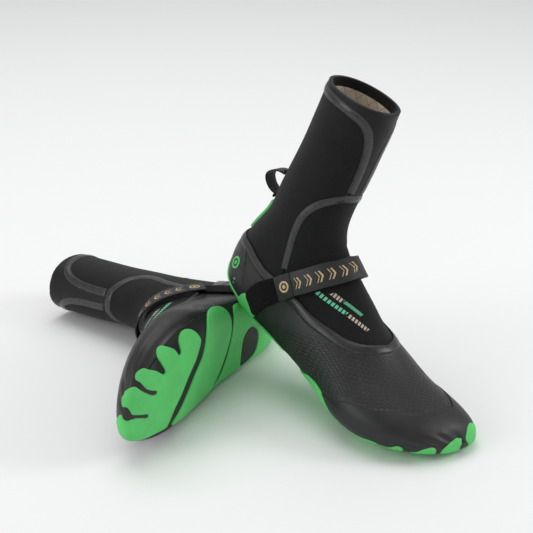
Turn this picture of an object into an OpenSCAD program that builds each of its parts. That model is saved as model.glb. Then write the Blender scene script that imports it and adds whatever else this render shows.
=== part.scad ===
// A pair of neoprene water-sports boots: one stands with its heel propped on the
// other, which lies on its inner side. Millimetres, +Z up, resting on Z = 0.
//
// Every piece is a patch of one foot-shaped skin. A place on the skin is [u, v]:
// u runs from the cuff (0) over the ankle to the toe tip (17), v runs around the
// boot in degrees, from the shin (0) over the inner side (90) to the heel (180).
// The left boot is the right one mirrored. Both have the same pieces.

/* [Layers] */
// Thickness of the neoprene panels
neoprene_t = 3.5; // [2.5:0.25:5]
// Thickness of the fleece lining
lining_t = 1.1; // [1:0.1:1.6]
// Thickness of the moulded rubber shell around the foot
shell_t = 1.2; // [0.8:0.1:1.6]
// Thickness of the sole pads
pad_t = 1.6; // [1:0.1:2]
// Gap that the glue fills between two layers
glue_t = 0.3; // [0.2:0.05:0.35]

/* [Trim] */
// Width of the liquid-rubber seam tape
tape_w = 8; // [6:0.5:10]
// Thickness of the seam tape
tape_t = 0.9; // [0.5:0.1:1.2]
// Width of the rubber band on the shell's rim
rim_w = 7; // [5:0.5:8]
// Depth of the smooth seal inside the cuff, in sections
seal_depth = 0.25; // [0.2:0.05:0.5]
// Half width of the heel pull strip, in degrees around the leg
pull_strip_w = 27; // [20:1:30]

/* [Strap] */
// Width of the instep strap
strap_w = 23; // [20:1:25]
// Thickness of the instep strap
strap_t = 1.8; // [1.2:0.1:2]
// Height of the strap's underside over the skin at the instep
strap_rise = 4.2; // [4:0.1:5]
// Width of the pull loop's webbing
loop_w = 16; // [12:1:20]
// Thickness of the pull loop's webbing
loop_t = 1.5; // [1.2:0.1:2]
// How far the pull loop stands out behind the leg
loop_reach = 17; // [14:1:20]

/* [Pose] */
// Rotation of the right boot, about X, then Y, then Z
right_turn = [-6, 20.2, -49.5]; // [-180:0.5:180]
// Place of the right boot's heel centre at sole level
right_place = [-17.5, -15.5, 78]; // [-300:0.5:300]
// Rotation of the left boot, about X, then Y, then Z
left_turn = [84.5, -9, -114.5]; // [-180:0.5:180]
// Place of the left boot's heel centre at sole level
left_place = [11.5, 14, 22]; // [-300:0.5:300]

/* [Hidden] */
// Bend of each boot in degrees: shaft back, toe up, shaft sideways, shaft about
// its own length, and turn of the sewn panels about the leg
RIGHT_BEND = [-5, 10.5, -5, -1.5, -1];
LEFT_BEND = [6, -2, -6, 3, -9];

// The foot form, a row for each section from the cuff to the toe: the front point's
// x and z, the back point's x and z, the inner and outer half widths, the centre's
// shift to the inner side, and the share of the depth that lies before the widest place
FORM = [
    [60, 258, -17, 247, 30, 31, 0, 0.50],
    [65, 222, -13, 212, 30, 31, 0, 0.50],
    [70, 184, -9, 172, 29, 31, 0, 0.50],
    [74, 152, -6, 136, 28, 32, 0, 0.50],
    [80, 128, -4, 106, 28, 33, 0, 0.50],
    [93, 111, -14, 77, 29, 34, 0, 0.52],
    [110, 102, -22, 46, 32, 36, 0, 0.56],
    [127, 94, -15, 13, 36, 39, 0, 0.60],
    [143, 86, 20, 2, 39, 40, 0, 0.64],
    [160, 77, 62, 4, 41, 43, -1, 0.66],
    [178, 69, 104, 7, 44, 47, -1, 0.66],
    [198, 61, 145, 6, 49, 52, 0, 0.64],
    [219, 53, 186, 3, 52, 57, 0, 0.62],
    [240, 46, 222, 3, 50, 55, 2, 0.60],
    [260, 40, 250, 6, 43, 48, 6, 0.56],
    [275, 33, 270, 10, 33, 36, 10, 0.52],
    [284, 24, 283, 15, 18, 19, 14, 0.50],
    [287, 20, 287, 19, 2, 2, 15, 0.50]
];
toe_tip = 16.8;
sole_end = 14.83;
front_power = 2.1;
ankle_centre = [38, 0, 95];
toe_centre = [205, 0, 20];
// Middle of the pair's footprint, where the whole part has its origin
footprint = [-24.8, -47.4, 0.37];

// Seams and edges as [v, u] for one half of the boot, and mirrored for the other
CUFF_SEAM = [[0, 2.45], [15, 2.45], [16, 1.6], [20, 1.05], [31, 0.6], [48, 0.37], [72, 0.28], [96, 0.25],
    [180, 0.25]];
RIM = [[0, 10.1], [13, 10], [31, 9.8], [43, 9.45], [52, 8.9], [61, 8.2], [66, 7.45], [78, 6.65], [88, 6.35],
    [101, 6], [118, 5.6], [142, 5.4], [180, 5.35]];
RAND = [[0, 14.05], [20, 13.95], [35, 13.65], [50, 12.95], [60, 12.3], [70, 11.9], [95, 11.65], [105, 11.35],
    [120, 11.05]];
// The instep seam as [u, v]
INSTEP_SEAM = [[2.45, 15], [2.6, 32], [2.85, 50], [3.3, 64], [3.8, 70], [4.5, 72], [7.8, 72]];
// How far in front of the rim the sock is sewn to the panels, and the place of its back seam
rim_seam = 0.6;
back_seam = 7.8;
// Half the gap where two pieces butt together, in sections
butt_gap = 0.012;

// Outlines of the sole pads as [v, from u, to u]
TOES = [[134, 13.35, 13.7], [139, 13.3, 15.2], [150, 13.15, 16], [160, 12.95, 15.9], [163, 12.9, 14.95],
    [166, 12.85, 14.95], [169, 12.8, 15.8], [182, 12.5, 15.85], [194, 12.22, 15.6], [197, 12.2, 14.75],
    [200, 12.18, 14.75], [203, 12.15, 15.4], [212, 12.02, 15.1], [214, 12, 14.05], [216, 12, 14.05],
    [218, 12, 14.8], [222, 12.1, 14.4], [224, 12.15, 13.3], [226, 12.2, 13.25], [229, 12.3, 13.6],
    [234, 12.5, 13.2]];
MIDFOOT = [[131, 10.85, 12.8], [144, 10.68, 12.65], [162, 10.5, 12.35], [180, 10.3, 12.05],
    [198, 10.2, 11.7], [216, 10.15, 11.5], [234, 10.25, 11.05], [239, 10.4, 10.85]];
HEEL = [[131, 8.5, 10.55], [137, 7.4, 10.5], [144, 6.9, 10.4], [153, 6.5, 10.3], [162, 6.2, 10.2],
    [171, 6.05, 10.15], [180, 6, 10.12], [189, 6.05, 10.1], [198, 6.3, 10.02], [207, 6.6, 9.98],
    [216, 6.9, 9.9], [223, 7.3, 9.8], [229, 7.7, 9.7]];
// Where the heel pad leaves room for its insert, as rows and as column numbers
INSERT_ROWS = [8.65, 9.4];
INSERT_COLUMNS = [2, 8];

// The strap's hinge lines and its end, as angles around the boot
strap_fold = 25;
tip_fold = -62;
strap_end = -73;
// Half the gap at a fold, in degrees
fold_gap = 0.7;
// How much further the strap stands off in front
strap_bow = 1.5;
// Centre line of the strap as [v, u]
STRAP_LINE = [[0, 5.78], [30, 6], [60, 6.65], [80, 7.2], [110, 7.9]];
// Width of the tab that comes up from the sole to the strap
tab_w = 17;
// Ends of the pull loop, as u, and the angle v that it is sewn on at
PULL_LOOP_ENDS = [2.95, 3.6];
pull_loop_v = 190;
// How much of the loop's webbing is sewn down at each end
sewn_end = 5;

// Heights of the layers over the skin
lining_top = -neoprene_t - 3 * glue_t;
lining_low = lining_top - lining_t;
shell_low = glue_t;
shell_top = shell_low + shell_t;
pad_low = shell_top + glue_t;
pad_top = pad_low + pad_t;
rim_top = pad_low + 0.7;
loop_pad_low = rim_top + glue_t;
loop_pad_top = loop_pad_low + 1.2;
hook_low = loop_pad_top + 0.35;
hook_top = hook_low + 0.8;
strap_low_side = hook_top + glue_t;
anchor_top = loop_pad_low + 1;
pull_strip_top = shell_low + 2;

// Sections that every layer shares, so that their facets lie parallel
LEG_ROWS = [2.95, 3.4, 3.85, 4.3, 4.75, 5.2, 5.6, 6, 6.35, 6.7, 7, 7.3];
FOOT_ROWS = [7.8, 8.4, 9, 9.75, 10.5, 11.25, 12, 12.7, 13.4, 14.1, 14.8];
TOE_ROWS = [15.3, 15.7, 16.05, 16.4, toe_tip];
ALL_ROWS = concat(LEG_ROWS, FOOT_ROWS, TOE_ROWS);
RING = [for (v = [-180:18:162]) v];

PIECES = ["lining", "cuff_seal", "insole", "toe_divider", "cuff_panel", "shaft_panel", "instep_panel",
    "foot_sock", "cuff_tape", "cross_tape", "instep_tape", "heel_cup", "vamp_shell", "toe_rand", "rim_band",
    "sole_base", "forefoot_pad", "midfoot_pad", "heel_pad", "heel_insert", "pull_strip", "pull_loop",
    "strap_tab", "loop_pad", "strap_anchor", "strap_root", "strap", "strap_tip", "hook_patch"];

// ---- small helpers ----

function smooth(t) = let (c = min(1, max(0, t))) c * c * (3 - 2 * c);
function unit(p) = p / norm(p);
function steps(from, to, count) = [for (i = [0:count]) from + (to - from) * i / count];
function backwards(list) = [for (i = [len(list) - 1:-1:0]) list[i]];
function total(points, i = 0) = i == len(points) - 1 ? points[i] : points[i] + total(points, i + 1);

function sorted(list) =
    len(list) < 2 ? list
    : let (
        pivot = list[0],
        rest = [for (i = [1:len(list) - 1]) list[i]],
        below = [for (x = rest) if (x < pivot) x],
        above = [for (x = rest) if (x >= pivot) x]
    )
    concat(sorted(below), [pivot], sorted(above));

// A Catmull-Rom curve through the rows of a table
function row(table, u) =
    let (
        last = len(table) - 1,
        i = min(last - 1, max(0, floor(u))),
        f = u - i,
        b = table[i],
        c = table[i + 1],
        a = i > 0 ? table[i - 1] : 2 * b - c,
        d = i + 2 <= last ? table[i + 2] : 2 * c - b
    )
    0.5 * (2 * b + (c - a) * f + (2 * a - 5 * b + 4 * c - d) * f ^ 2 + (3 * b - a - 3 * c + d) * f ^ 3);

// Turns about a centre, in the XZ, YZ and XY planes
function tilt(p, c, a) =
    let (q = p - c)
    [c.x + q.x * cos(a) - q.z * sin(a), p.y, c.z + q.x * sin(a) + q.z * cos(a)];
function roll(p, c, a) =
    let (q = p - c)
    [p.x, q.y * cos(a) - q.z * sin(a), c.z + q.y * sin(a) + q.z * cos(a)];
function twist(p, c, a) =
    let (q = p - c)
    [c.x + q.x * cos(a) - q.y * sin(a), q.x * sin(a) + q.y * cos(a), p.z];

function turn_matrix(a) =
    [[cos(a.z), -sin(a.z), 0], [sin(a.z), cos(a.z), 0], [0, 0, 1]]
    * [[cos(a.y), 0, sin(a.y)], [0, 1, 0], [-sin(a.y), 0, cos(a.y)]]
    * [[1, 0, 0], [0, cos(a.x), -sin(a.x)], [0, sin(a.x), cos(a.x)]];

// ---- the skin ----

// A boot: whether it is mirrored, its rotation, its place and its bend
module right_boot() {
    $mirrored = false;
    $turn = turn_matrix(right_turn);
    $place = right_place;
    $bend = RIGHT_BEND;
    children();
}

module left_boot() {
    $mirrored = true;
    $turn = turn_matrix(left_turn);
    $place = left_place;
    $bend = LEFT_BEND;
    children();
}

// How square the back or sole half of a section is
function back_power(u) = u < 8 ? 2.1 + 0.9 * smooth((u - 3) / 5) : 3 - 0.7 * smooth((u - 13) / 3);

// The unbent form: a section is two halves of a superellipse
function form(u, v) =
    let (
        s = row(FORM, u),
        power = cos(v) > 0 ? front_power : back_power(u),
        reach = (abs(cos(v)) ^ power + abs(sin(v)) ^ power) ^ (-1 / power),
        share = s[7] - (cos(v) > 0 ? s[7] : 1 - s[7]) * cos(v) * reach,
        half_width = sin(v) > 0 ? s[4] : s[5]
    )
    [s[0] + (s[2] - s[0]) * share, s[6] + half_width * sin(v) * reach, s[1] + (s[3] - s[1]) * share];

// The bent form: the toes flex about the ball of the foot, the shaft about the ankle
function bent(u, v) =
    let (
        p = form(u, v),
        leg = smooth((5.5 - u) / 4),
        toed = tilt(p, toe_centre, $bend[1] * smooth((p.x - 165) / 80)),
        leaned = tilt(toed, ankle_centre, $bend[0] * leg),
        rolled = roll(leaned, ankle_centre, $bend[2] * leg)
    )
    twist(rolled, ankle_centre, $bend[3] * leg);

// Where the boot lies on the floor its soft side flattens, and nothing goes below it
function pressed(p, floor_z) =
    let (soft = 6)
    p.z > floor_z + soft ? p : [p.x, p.y, floor_z + soft * exp((p.z - floor_z) / soft - 1)];

// Room under the skin for the layers outside it: tape, strap root, sole
function floor_gap(u) = 1.4 + 4.6 * smooth((u - 4.2) / 1.5) - 2.4 * smooth((u - 8.5) / 1.5);

function placed(u, v) =
    let (p = bent(u, v), q = $mirrored ? [p.x, -p.y, p.z] : p)
    pressed($turn * q + $place, floor_gap(u)) - footprint;

// Outward unit normal of the placed skin
function normal(u, v) =
    let (
        along = placed(u + 0.04, v) - placed(u - 0.04, v),
        around = placed(u, v + 1.5) - placed(u, v - 1.5)
    )
    ($mirrored ? -1 : 1) * unit(cross(along, around));

// Inner layers end further back from the toe tip, where the form is too thin for them
function skin(u, v, h) =
    let (w = h < 0 && u > 15 ? 15 + (u - 15) * max(0.2, 1 + 0.14 * h) : u)
    placed(w, v) + h * normal(w, v);

// The place on the skin that lies w away from [u, v], where w is a short tangent vector
function slid(u, v, w) =
    let (
        a = (form(u + 0.04, v) - form(u - 0.04, v)) / 0.08,
        b = (form(u, v + 1.5) - form(u, v - 1.5)) / 3,
        det = (a * a) * (b * b) - (a * b) ^ 2
    )
    [u + ((b * b) * (a * w) - (a * b) * (b * w)) / det, v + ((a * a) * (b * w) - (a * b) * (a * w)) / det];

// ---- solids on the skin ----

// A closed solid between two heights over a grid of [u, v] places. closed joins the
// last column to the first, capped closes the last row, and keep drops cells.
module quilt(grid, low, high, closed = false, capped = false, keep = function(i, j) true) {
    rows = len(grid);
    columns = len(grid[0]);
    cells = closed ? columns : columns - 1;
    count = rows * columns;
    function at(i, j) = i * columns + j % columns;
    function kept(i, j) =
        i < 0 || i > rows - 2 ? false
        : closed ? keep(i, (j + columns) % columns)
        : j < 0 || j > cells - 1 ? false
        : keep(i, j);
    function wall(x, y) = [[y, x, x + count], [y, x + count, y + count]];
    outer = [for (line = grid) for (p = line) skin(p[0], p[1], high)];
    inner = [for (line = grid) for (p = line) skin(p[0], p[1], low)];
    rim = [for (j = [0:columns - 1]) at(rows - 1, j)];
    caps = capped ? [for (side = [outer, inner]) total([for (k = rim) side[k]]) / columns] : [];
    faces = [
        for (i = [0:rows - 2]) for (j = [0:cells - 1]) if (kept(i, j))
            let (a = at(i, j), b = at(i, j + 1), c = at(i + 1, j + 1), d = at(i + 1, j))
            each concat(
                [[a, b, c], [a, c, d], [a + count, c + count, b + count], [a + count, d + count, c + count]],
                kept(i - 1, j) ? [] : wall(a, b),
                kept(i, j + 1) ? [] : wall(b, c),
                kept(i + 1, j) || (capped && i == rows - 2) ? [] : wall(c, d),
                kept(i, j - 1) ? [] : wall(d, a)
            ),
        if (capped) for (j = [0:columns - 1])
            let (d = at(rows - 1, j), c = at(rows - 1, j + 1))
            each [[d, c, 2 * count], [c + count, d + count, 2 * count + 1]]
    ];
    polyhedron(concat(outer, inner, caps), $mirrored ? [for (f = faces) backwards(f)] : faces, convexity = 8);
}

// A grid of rows [u, from v, to v]
function row_grid(rows, columns) = [for (r = rows) [for (v = steps(r[1], r[2], columns)) [r[0], v]]];

// A grid of columns [v, from u, to u]
function column_grid(columns, rows) =
    [for (t = steps(0, 1, rows)) [for (c = columns) [c[1] + (c[2] - c[1]) * t, c[0]]]];

// The same over the shared sections, drawn in to each column's ends
function shared_grid(columns, extra = []) =
    let (
        low = min([for (c = columns) c[1]]),
        high = max([for (c = columns) c[2]]),
        inside = [for (u = concat(ALL_ROWS, extra)) if (u > low + 0.05 && u < high - 0.05) u],
        rows = concat([low], sorted(inside), [high]),
        last = len(rows) - 1,
        step = 0.02
    )
    [for (i = [0:last])
        [for (c = columns)
            let (held = min(max(rows[i], c[1] + i * step), c[2] - (last - i) * step))
            [i == 0 ? c[1] : i == last ? c[2] : held, c[0]]
        ]
    ];

// A grid that follows a path of [u, v] places, with a width in millimetres
function ribbon_grid(path, width, lanes = 2) =
    [for (i = [0:len(path) - 1])
        let (
            p = path[i],
            before = path[max(0, i - 1)],
            after = path[min(len(path) - 1, i + 1)],
            along = form(after[0], after[1]) - form(before[0], before[1]),
            around = form(p[0], p[1] + 1.5) - form(p[0], p[1] - 1.5),
            down = form(p[0] + 0.04, p[1]) - form(p[0] - 0.04, p[1]),
            side = unit(cross(cross(down, around), along))
        )
        [for (t = steps(-0.5, 0.5, lanes)) slid(p[0], p[1], side * width * t)]
    ];

// A flat band that runs over the skin along a path of [u, v, low, high]
module band(path, width) {
    last = len(path) - 1;
    middle = [for (p = path) skin(p[0], p[1], p[2])];
    up = [for (p = path) normal(p[0], p[1])];
    side = [for (i = [0:last])
        ($mirrored ? -1 : 1) * unit(cross(up[i], middle[min(last, i + 1)] - middle[max(0, i - 1)]))];
    points = [for (i = [0:last]) for (corner = [[-0.5, 0], [0.5, 0], [0.5, 1], [-0.5, 1]])
        middle[i] + side[i] * width * corner[0] + up[i] * (path[i][3] - path[i][2]) * corner[1]];
    faces = [
        [0, 1, 2], [0, 2, 3],
        for (i = [0:last - 1]) for (k = [0:3])
            let (a = 4 * i + k, b = 4 * i + (k + 1) % 4)
            each [[a, a + 4, b + 4], [a, b + 4, b]],
        [4 * last, 4 * last + 2, 4 * last + 1], [4 * last, 4 * last + 3, 4 * last + 2]
    ];
    polyhedron(points, $mirrored ? [for (f = faces) backwards(f)] : faces, convexity = 4);
}

// u on an edge table at the angle v, the same on both sides of the boot
function edge(table, v) = let (a = abs(v) > 180 ? 360 - abs(v) : abs(v)) lookup(a, table);

// Sewn panels on the leg turn with the shaft
function sewn(u, v) = [u, v + $bend[4] * smooth((4.6 - u) / 1.4)];
function sewn_grid(grid) = [for (line = grid) [for (p = line) sewn(p[0], p[1])]];

// ---- inner pieces ----

module lining() {
    color("tan")
    quilt([for (u = concat([seal_depth + 0.02, 1.5, 2.5], LEG_ROWS, FOOT_ROWS, [15.4]))
        [for (v = RING) [u, v]]], lining_low, lining_top, closed = true, capped = true);
}

module cuff_seal() {
    rows = [for (u = steps(0.03, seal_depth, 2)) [for (v = RING) [u, v]]];
    color("black")
    quilt(rows, lining_low, lining_top, closed = true);
}

module insole() {
    color("dimgray")
    quilt([for (u = FOOT_ROWS) if (u > 8.3 && u < 14.5) [for (v = [144:18:216]) [u, v]]],
        lining_low - 2, lining_low - 2 * glue_t);
}

// The wall between the big toe and the others, sewn through the sock
module toe_divider() {
    color("black")
    quilt(row_grid([for (u = steps(14.3, 15, 3)) [u, 24, 27]], 1), lining_low - 8, lining_low - 1);
}

// ---- neoprene panels ----

module cuff_panel() {
    half = [15, 16, 18, 20, 25, 31, 40, 48, 60];
    angles = concat(
        [for (v = [-180:18:-72]) v],
        [for (v = backwards(half)) -v],
        [0],
        half,
        [for (v = [72:18:162]) v]
    );
    color([0.08, 0.07, 0.11])
    quilt(sewn_grid(column_grid([for (v = angles) [v, 0, edge(CUFF_SEAM, v) - butt_gap]], 3)),
        -neoprene_t, 0, closed = true);
}

// A row of the shaft panel from one side of the shin round the back to the other:
// columns on the ring where there is room, then drawn together
function panel_row(u, from) =
    [for (k = [-9:9])
        let (half = min(180 - from - 0.1 * (9 - abs(k)), 18 * abs(k)))
        [u, 180 + (k < 0 ? -half : half)]
    ];

module shaft_panel() {
    cuff = [for (p = backwards(CUFF_SEAM)) if (p[0] > 14 && p[0] < 100) [p[1] + butt_gap, p[0] + 1]];
    leg = [for (u = concat([2.6, 2.75], LEG_ROWS, [back_seam])) [u, lookup(u, INSTEP_SEAM) + 1]];
    color([0.06, 0.06, 0.06])
    quilt(sewn_grid([for (p = concat(cuff, leg)) panel_row(p[0], p[1])]), -neoprene_t, 0);
}

module instep_panel() {
    sides = [for (u = concat([2.48, 2.6, 2.75], LEG_ROWS, [back_seam])) [u, lookup(u, INSTEP_SEAM) - 0.5]];
    front = [for (v = [54:-18:0]) [edge(RIM, v) + rim_seam - 2 * butt_gap, v + 0.01]];
    rows = [for (p = concat(sides, front)) [for (k = [-4:4]) [p[0], k * min(18, p[1] / 4)]]];
    color([0.07, 0.07, 0.07])
    quilt(sewn_grid(rows), -neoprene_t, 0);
}

// Its edge meets the shaft panel at the heel and the instep panel on top
module foot_sock() {
    columns = [for (v = RING)
        [v, abs(v) < 72 ? edge(RIM, v) + rim_seam + 2 * butt_gap : back_seam + 4 * butt_gap, toe_tip]];
    color([0.05, 0.05, 0.05])
    quilt(shared_grid(columns), -neoprene_t, 0, closed = true, capped = true);
}

// ---- seam tapes ----

// Down one side of the shin and round the cuff to the other side
module cuff_tape() {
    turns = [16, 18, 20, 25, 31, 40, 48, 60, 72, 84, 96];
    half = concat([[2.2, 15]], [for (v = turns) [edge(CUFF_SEAM, v), v]]);
    back = [for (v = [108:18:252]) [edge(CUFF_SEAM, v), v]];
    path = concat(half, back, [for (p = backwards(half)) [p[0], 360 - p[1]]]);
    color("gray")
    quilt(sewn_grid(ribbon_grid(path, tape_w)), shell_low, shell_low + tape_t);
}

module cross_tape() {
    path = [for (v = steps(-23, 23, 4)) [2.48, v]];
    color("gray")
    quilt(sewn_grid(ribbon_grid(path, tape_w)), shell_low, shell_low + tape_t);
}

module instep_tape() {
    down = [for (u = concat([2.8], LEG_ROWS)) if (u < 6.2) [u, lookup(u, INSTEP_SEAM)]];
    inner = concat([[2.56, 27.5], [2.65, 36]], down);
    outer = [for (p = backwards(inner)) [p[0], -p[1]]];
    color("gray")
    for (path = [inner, outer])
        quilt(sewn_grid(ribbon_grid(path, tape_w)), shell_low, shell_low + tape_t);
}

// ---- moulded rubber foot shell ----

// The line where the heel cup ends and the vamp begins, from the rim down to the sole
function counter_u(v) = 8.3 - 1.9 * (1 - smooth((abs(v) - 86) / 24));

module heel_cup() {
    columns = [for (v = [90, 98, 108, 118, 126, 144, 162, 180, 198, 216, 234, 242, 252, 262, 270])
        [v, edge(RIM, v) + 0.02, counter_u(min(v, 360 - v))]];
    color([0.24, 0.24, 0.25])
    quilt(shared_grid(columns), shell_low, shell_top);
}

module vamp_shell() {
    half = [13, 18, 36, 54, 61, 66, 72, 90, 98, 108, 119];
    columns = [for (v = concat([for (v = backwards(half)) -v], [0], half))
        [v, abs(v) < 89 ? edge(RIM, v) + 0.02 : counter_u(v) + 0.02, edge(RAND, v) - butt_gap]];
    color([0.24, 0.24, 0.25])
    quilt(shared_grid(columns), shell_low, shell_top);
}

module toe_rand() {
    half = [18, 36, 54, 62, 72, 90, 108, 124];
    sole_half = [126, 144, 162];
    mirrored_half = [for (v = backwards(concat(half, sole_half))) -v];
    angles = concat([-180], mirrored_half, [0], half, sole_half);
    grid = shared_grid([for (v = angles) [v, edge(RAND, v) + butt_gap, toe_tip]], [sole_end]);
    function off_the_sole(p) = abs(p[1]) < 125 || p[0] > sole_end - 0.01;
    color([0.2, 0.2, 0.2])
    quilt(grid, shell_low, shell_top, closed = true, capped = true,
        keep = function(i, j) off_the_sole(grid[i][j]) && off_the_sole(grid[i][(j + 1) % len(grid[0])]));
}

module sole_base() {
    rows = concat([8.34], [for (u = FOOT_ROWS) if (u > 8.8) u]);
    color([0.1, 0.1, 0.1])
    quilt([for (u = rows)
        let (
            side_v = 120.5 + 6 * smooth((u - 10.8) / 0.4),
            next_v = max(126, side_v + 0.5),
            half = [side_v, next_v, 144, 162]
        )
        [for (v = concat(half, [180], [for (v = backwards(half)) 360 - v])) [u, v]]
    ], shell_low, shell_top);
}

module rim_band() {
    half = [18, 27, 36, 43, 48, 52, 57, 61, 63, 66, 70, 74, 78, 83, 90, 99, 108, 117, 126, 144, 162];
    angles = concat([-180], [for (v = backwards(half)) -v], [0], half, [180]);
    grid = ribbon_grid([for (v = angles) [edge(RIM, v) + 0.14, v]], rim_w, 1);
    color([0.35, 0.35, 0.36])
    quilt([for (k = [1, 0]) [for (i = [0:len(grid) - 2]) [grid[i][k][0], i == 0 ? -180 : grid[i][k][1]]]],
        pad_low, rim_top, closed = true);
}

// ---- sole ----

module forefoot_pad() {
    color([0.3, 0.73, 0.38])
    quilt(shared_grid(TOES), pad_low, pad_top);
}

module midfoot_pad() {
    color([0.3, 0.73, 0.38])
    quilt(shared_grid(MIDFOOT), pad_low, pad_top);
}

// Whether a cell of the heel pad makes way for the insert
function in_insert(grid, i, j) =
    let (column = INSERT_COLUMNS[0])
    grid[i][column][0] > INSERT_ROWS[0] - butt_gap && grid[i + 1][column][0] < INSERT_ROWS[1] + butt_gap
    && j >= column && j < INSERT_COLUMNS[1];

module heel_pad() {
    grid = shared_grid(HEEL, INSERT_ROWS);
    color([0.3, 0.73, 0.38])
    quilt(grid, pad_low, pad_top, keep = function(i, j) !in_insert(grid, i, j));
}

module heel_insert() {
    gap = 0.03;
    rows = [INSERT_ROWS[0] + gap, 9, INSERT_ROWS[1] - gap];
    color([0.1, 0.1, 0.1])
    quilt([for (u = rows) [for (j = [INSERT_COLUMNS[0]:INSERT_COLUMNS[1]]) [u, HEEL[j][0] + 0.2 * (5 - j)]]],
        pad_low, pad_top - 0.5);
}

// ---- heel pull ----

module pull_strip() {
    angles = [180 - pull_strip_w, 162, 180, 198, 180 + pull_strip_w];
    color([0.3, 0.73, 0.38])
    quilt([for (u = LEG_ROWS) if (u > 3.8 && u < 5.21) [for (v = angles) [u, v]]], shell_low, pull_strip_top);
}

// A webbing loop behind the leg, with both ends sewn on
module pull_loop() {
    top = skin(PULL_LOOP_ENDS[0], pull_loop_v, 0.9);
    low = skin(PULL_LOOP_ENDS[1], pull_loop_v, 1.6);
    out = normal((PULL_LOOP_ENDS[0] + PULL_LOOP_ENDS[1]) / 2, pull_loop_v);
    up = unit(top - low);
    side = cross(up, out);
    reach = norm(top - low) / 2;
    middle = (top + low) / 2;
    outline = concat(
        [[-reach - sewn_end, 0]],
        [for (a = steps(-90, 90, 8))
            [reach * (0.75 * sin(a) + 0.25 * sin(a) ^ 3), loop_reach * cos(a) ^ 0.8]],
        [[reach + sewn_end, 0]]
    );
    last = len(outline) - 1;
    across = [for (i = [0:last])
        let (d = outline[min(last, i + 1)] - outline[max(0, i - 1)])
        unit([-d[1], d[0]])
    ];
    points = [for (i = [0:last]) for (c = [[-0.5, 0], [0.5, 0], [0.5, 1], [-0.5, 1]])
        let (q = outline[i] + across[i] * loop_t * c[1])
        middle + up * q[0] + out * q[1] + side * loop_w * c[0]
    ];
    color([0.07, 0.07, 0.07])
    polyhedron(points, [
        [0, 2, 1], [0, 3, 2],
        for (i = [0:last - 1]) for (k = [0:3])
            let (a = 4 * i + k, b = 4 * i + (k + 1) % 4)
            each [[a, b + 4, a + 4], [a, b, b + 4]],
        [4 * last, 4 * last + 1, 4 * last + 2], [4 * last, 4 * last + 2, 4 * last + 3]
    ], convexity = 6);
}

// ---- strap ----

// u of the strap's centre line at the angle v
function strap_u(v) = lookup(abs(v), STRAP_LINE);
// Height of the strap's underside: low at the root, then over the instep, then over the loop pad
function strap_h(v) =
    let (front = strap_bow * smooth(1 - abs(v - 8) / 40))
    v > 0 ? front + strap_rise + (anchor_top + glue_t - strap_rise) * smooth((v - 30) / 40)
    : front + strap_rise + (strap_low_side - strap_rise) * smooth(-v / 50);
function strap_path(from, to, count) =
    [for (v = steps(from, to, count)) [strap_u(v), v, strap_h(v), strap_h(v) + strap_t]];

// The green tab that comes up from the sole
module strap_tab() {
    color([0.3, 0.73, 0.38])
    quilt(ribbon_grid([[8.05, -124], [7.9, -116], [7.75, -108]], tab_w), pad_low, pad_low + 1.4);
}

module loop_pad() {
    path = [[7.72, -103], [7.5, -94], [7.2, -84], [6.9, -74]];
    color([0.04, 0.04, 0.04])
    quilt(ribbon_grid(path, strap_w), loop_pad_low, loop_pad_top);
}

module strap_anchor() {
    color([0.06, 0.06, 0.06])
    quilt(ribbon_grid([[7.95, 112], [7.8, 104], [7.6, 96], [7.4, 88], [7.2, 80]], strap_w + 1),
        loop_pad_low, anchor_top);
}

module strap_root() {
    color([0.22, 0.22, 0.22])
    band(strap_path(106, strap_fold + fold_gap, 12), strap_w);
}

module strap() {
    color([0.22, 0.22, 0.22])
    band(strap_path(strap_fold - fold_gap, tip_fold + fold_gap, 12), strap_w);
}

module strap_tip() {
    color([0.15, 0.15, 0.15])
    band(strap_path(tip_fold - fold_gap, strap_end, 4), strap_w + 1);
}

module hook_patch() {
    color([0.03, 0.03, 0.03])
    band([for (v = steps(tip_fold - 2, strap_end + 1, 4))
        [strap_u(v), v, strap_h(v) - 1, strap_h(v) - glue_t]], strap_w - 2);
}

right_boot() lining();  // right_lining
right_boot() cuff_seal();  // right_cuff_seal
right_boot() insole();  // right_insole
right_boot() toe_divider();  // right_toe_divider
right_boot() cuff_panel();  // right_cuff_panel
right_boot() shaft_panel();  // right_shaft_panel
right_boot() instep_panel();  // right_instep_panel
right_boot() foot_sock();  // right_foot_sock
right_boot() cuff_tape();  // right_cuff_tape
right_boot() cross_tape();  // right_cross_tape
right_boot() instep_tape();  // right_instep_tape
right_boot() heel_cup();  // right_heel_cup
right_boot() vamp_shell();  // right_vamp_shell
right_boot() toe_rand();  // right_toe_rand
right_boot() rim_band();  // right_rim_band
right_boot() sole_base();  // right_sole_base
right_boot() forefoot_pad();  // right_forefoot_pad
right_boot() midfoot_pad();  // right_midfoot_pad
right_boot() heel_pad();  // right_heel_pad
right_boot() heel_insert();  // right_heel_insert
right_boot() pull_strip();  // right_pull_strip
right_boot() pull_loop();  // right_pull_loop
right_boot() strap_tab();  // right_strap_tab
right_boot() loop_pad();  // right_loop_pad
right_boot() strap_anchor();  // right_strap_anchor
right_boot() strap_root();  // right_strap_root
right_boot() strap();  // right_strap
right_boot() strap_tip();  // right_strap_tip
right_boot() hook_patch();  // right_hook_patch

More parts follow.
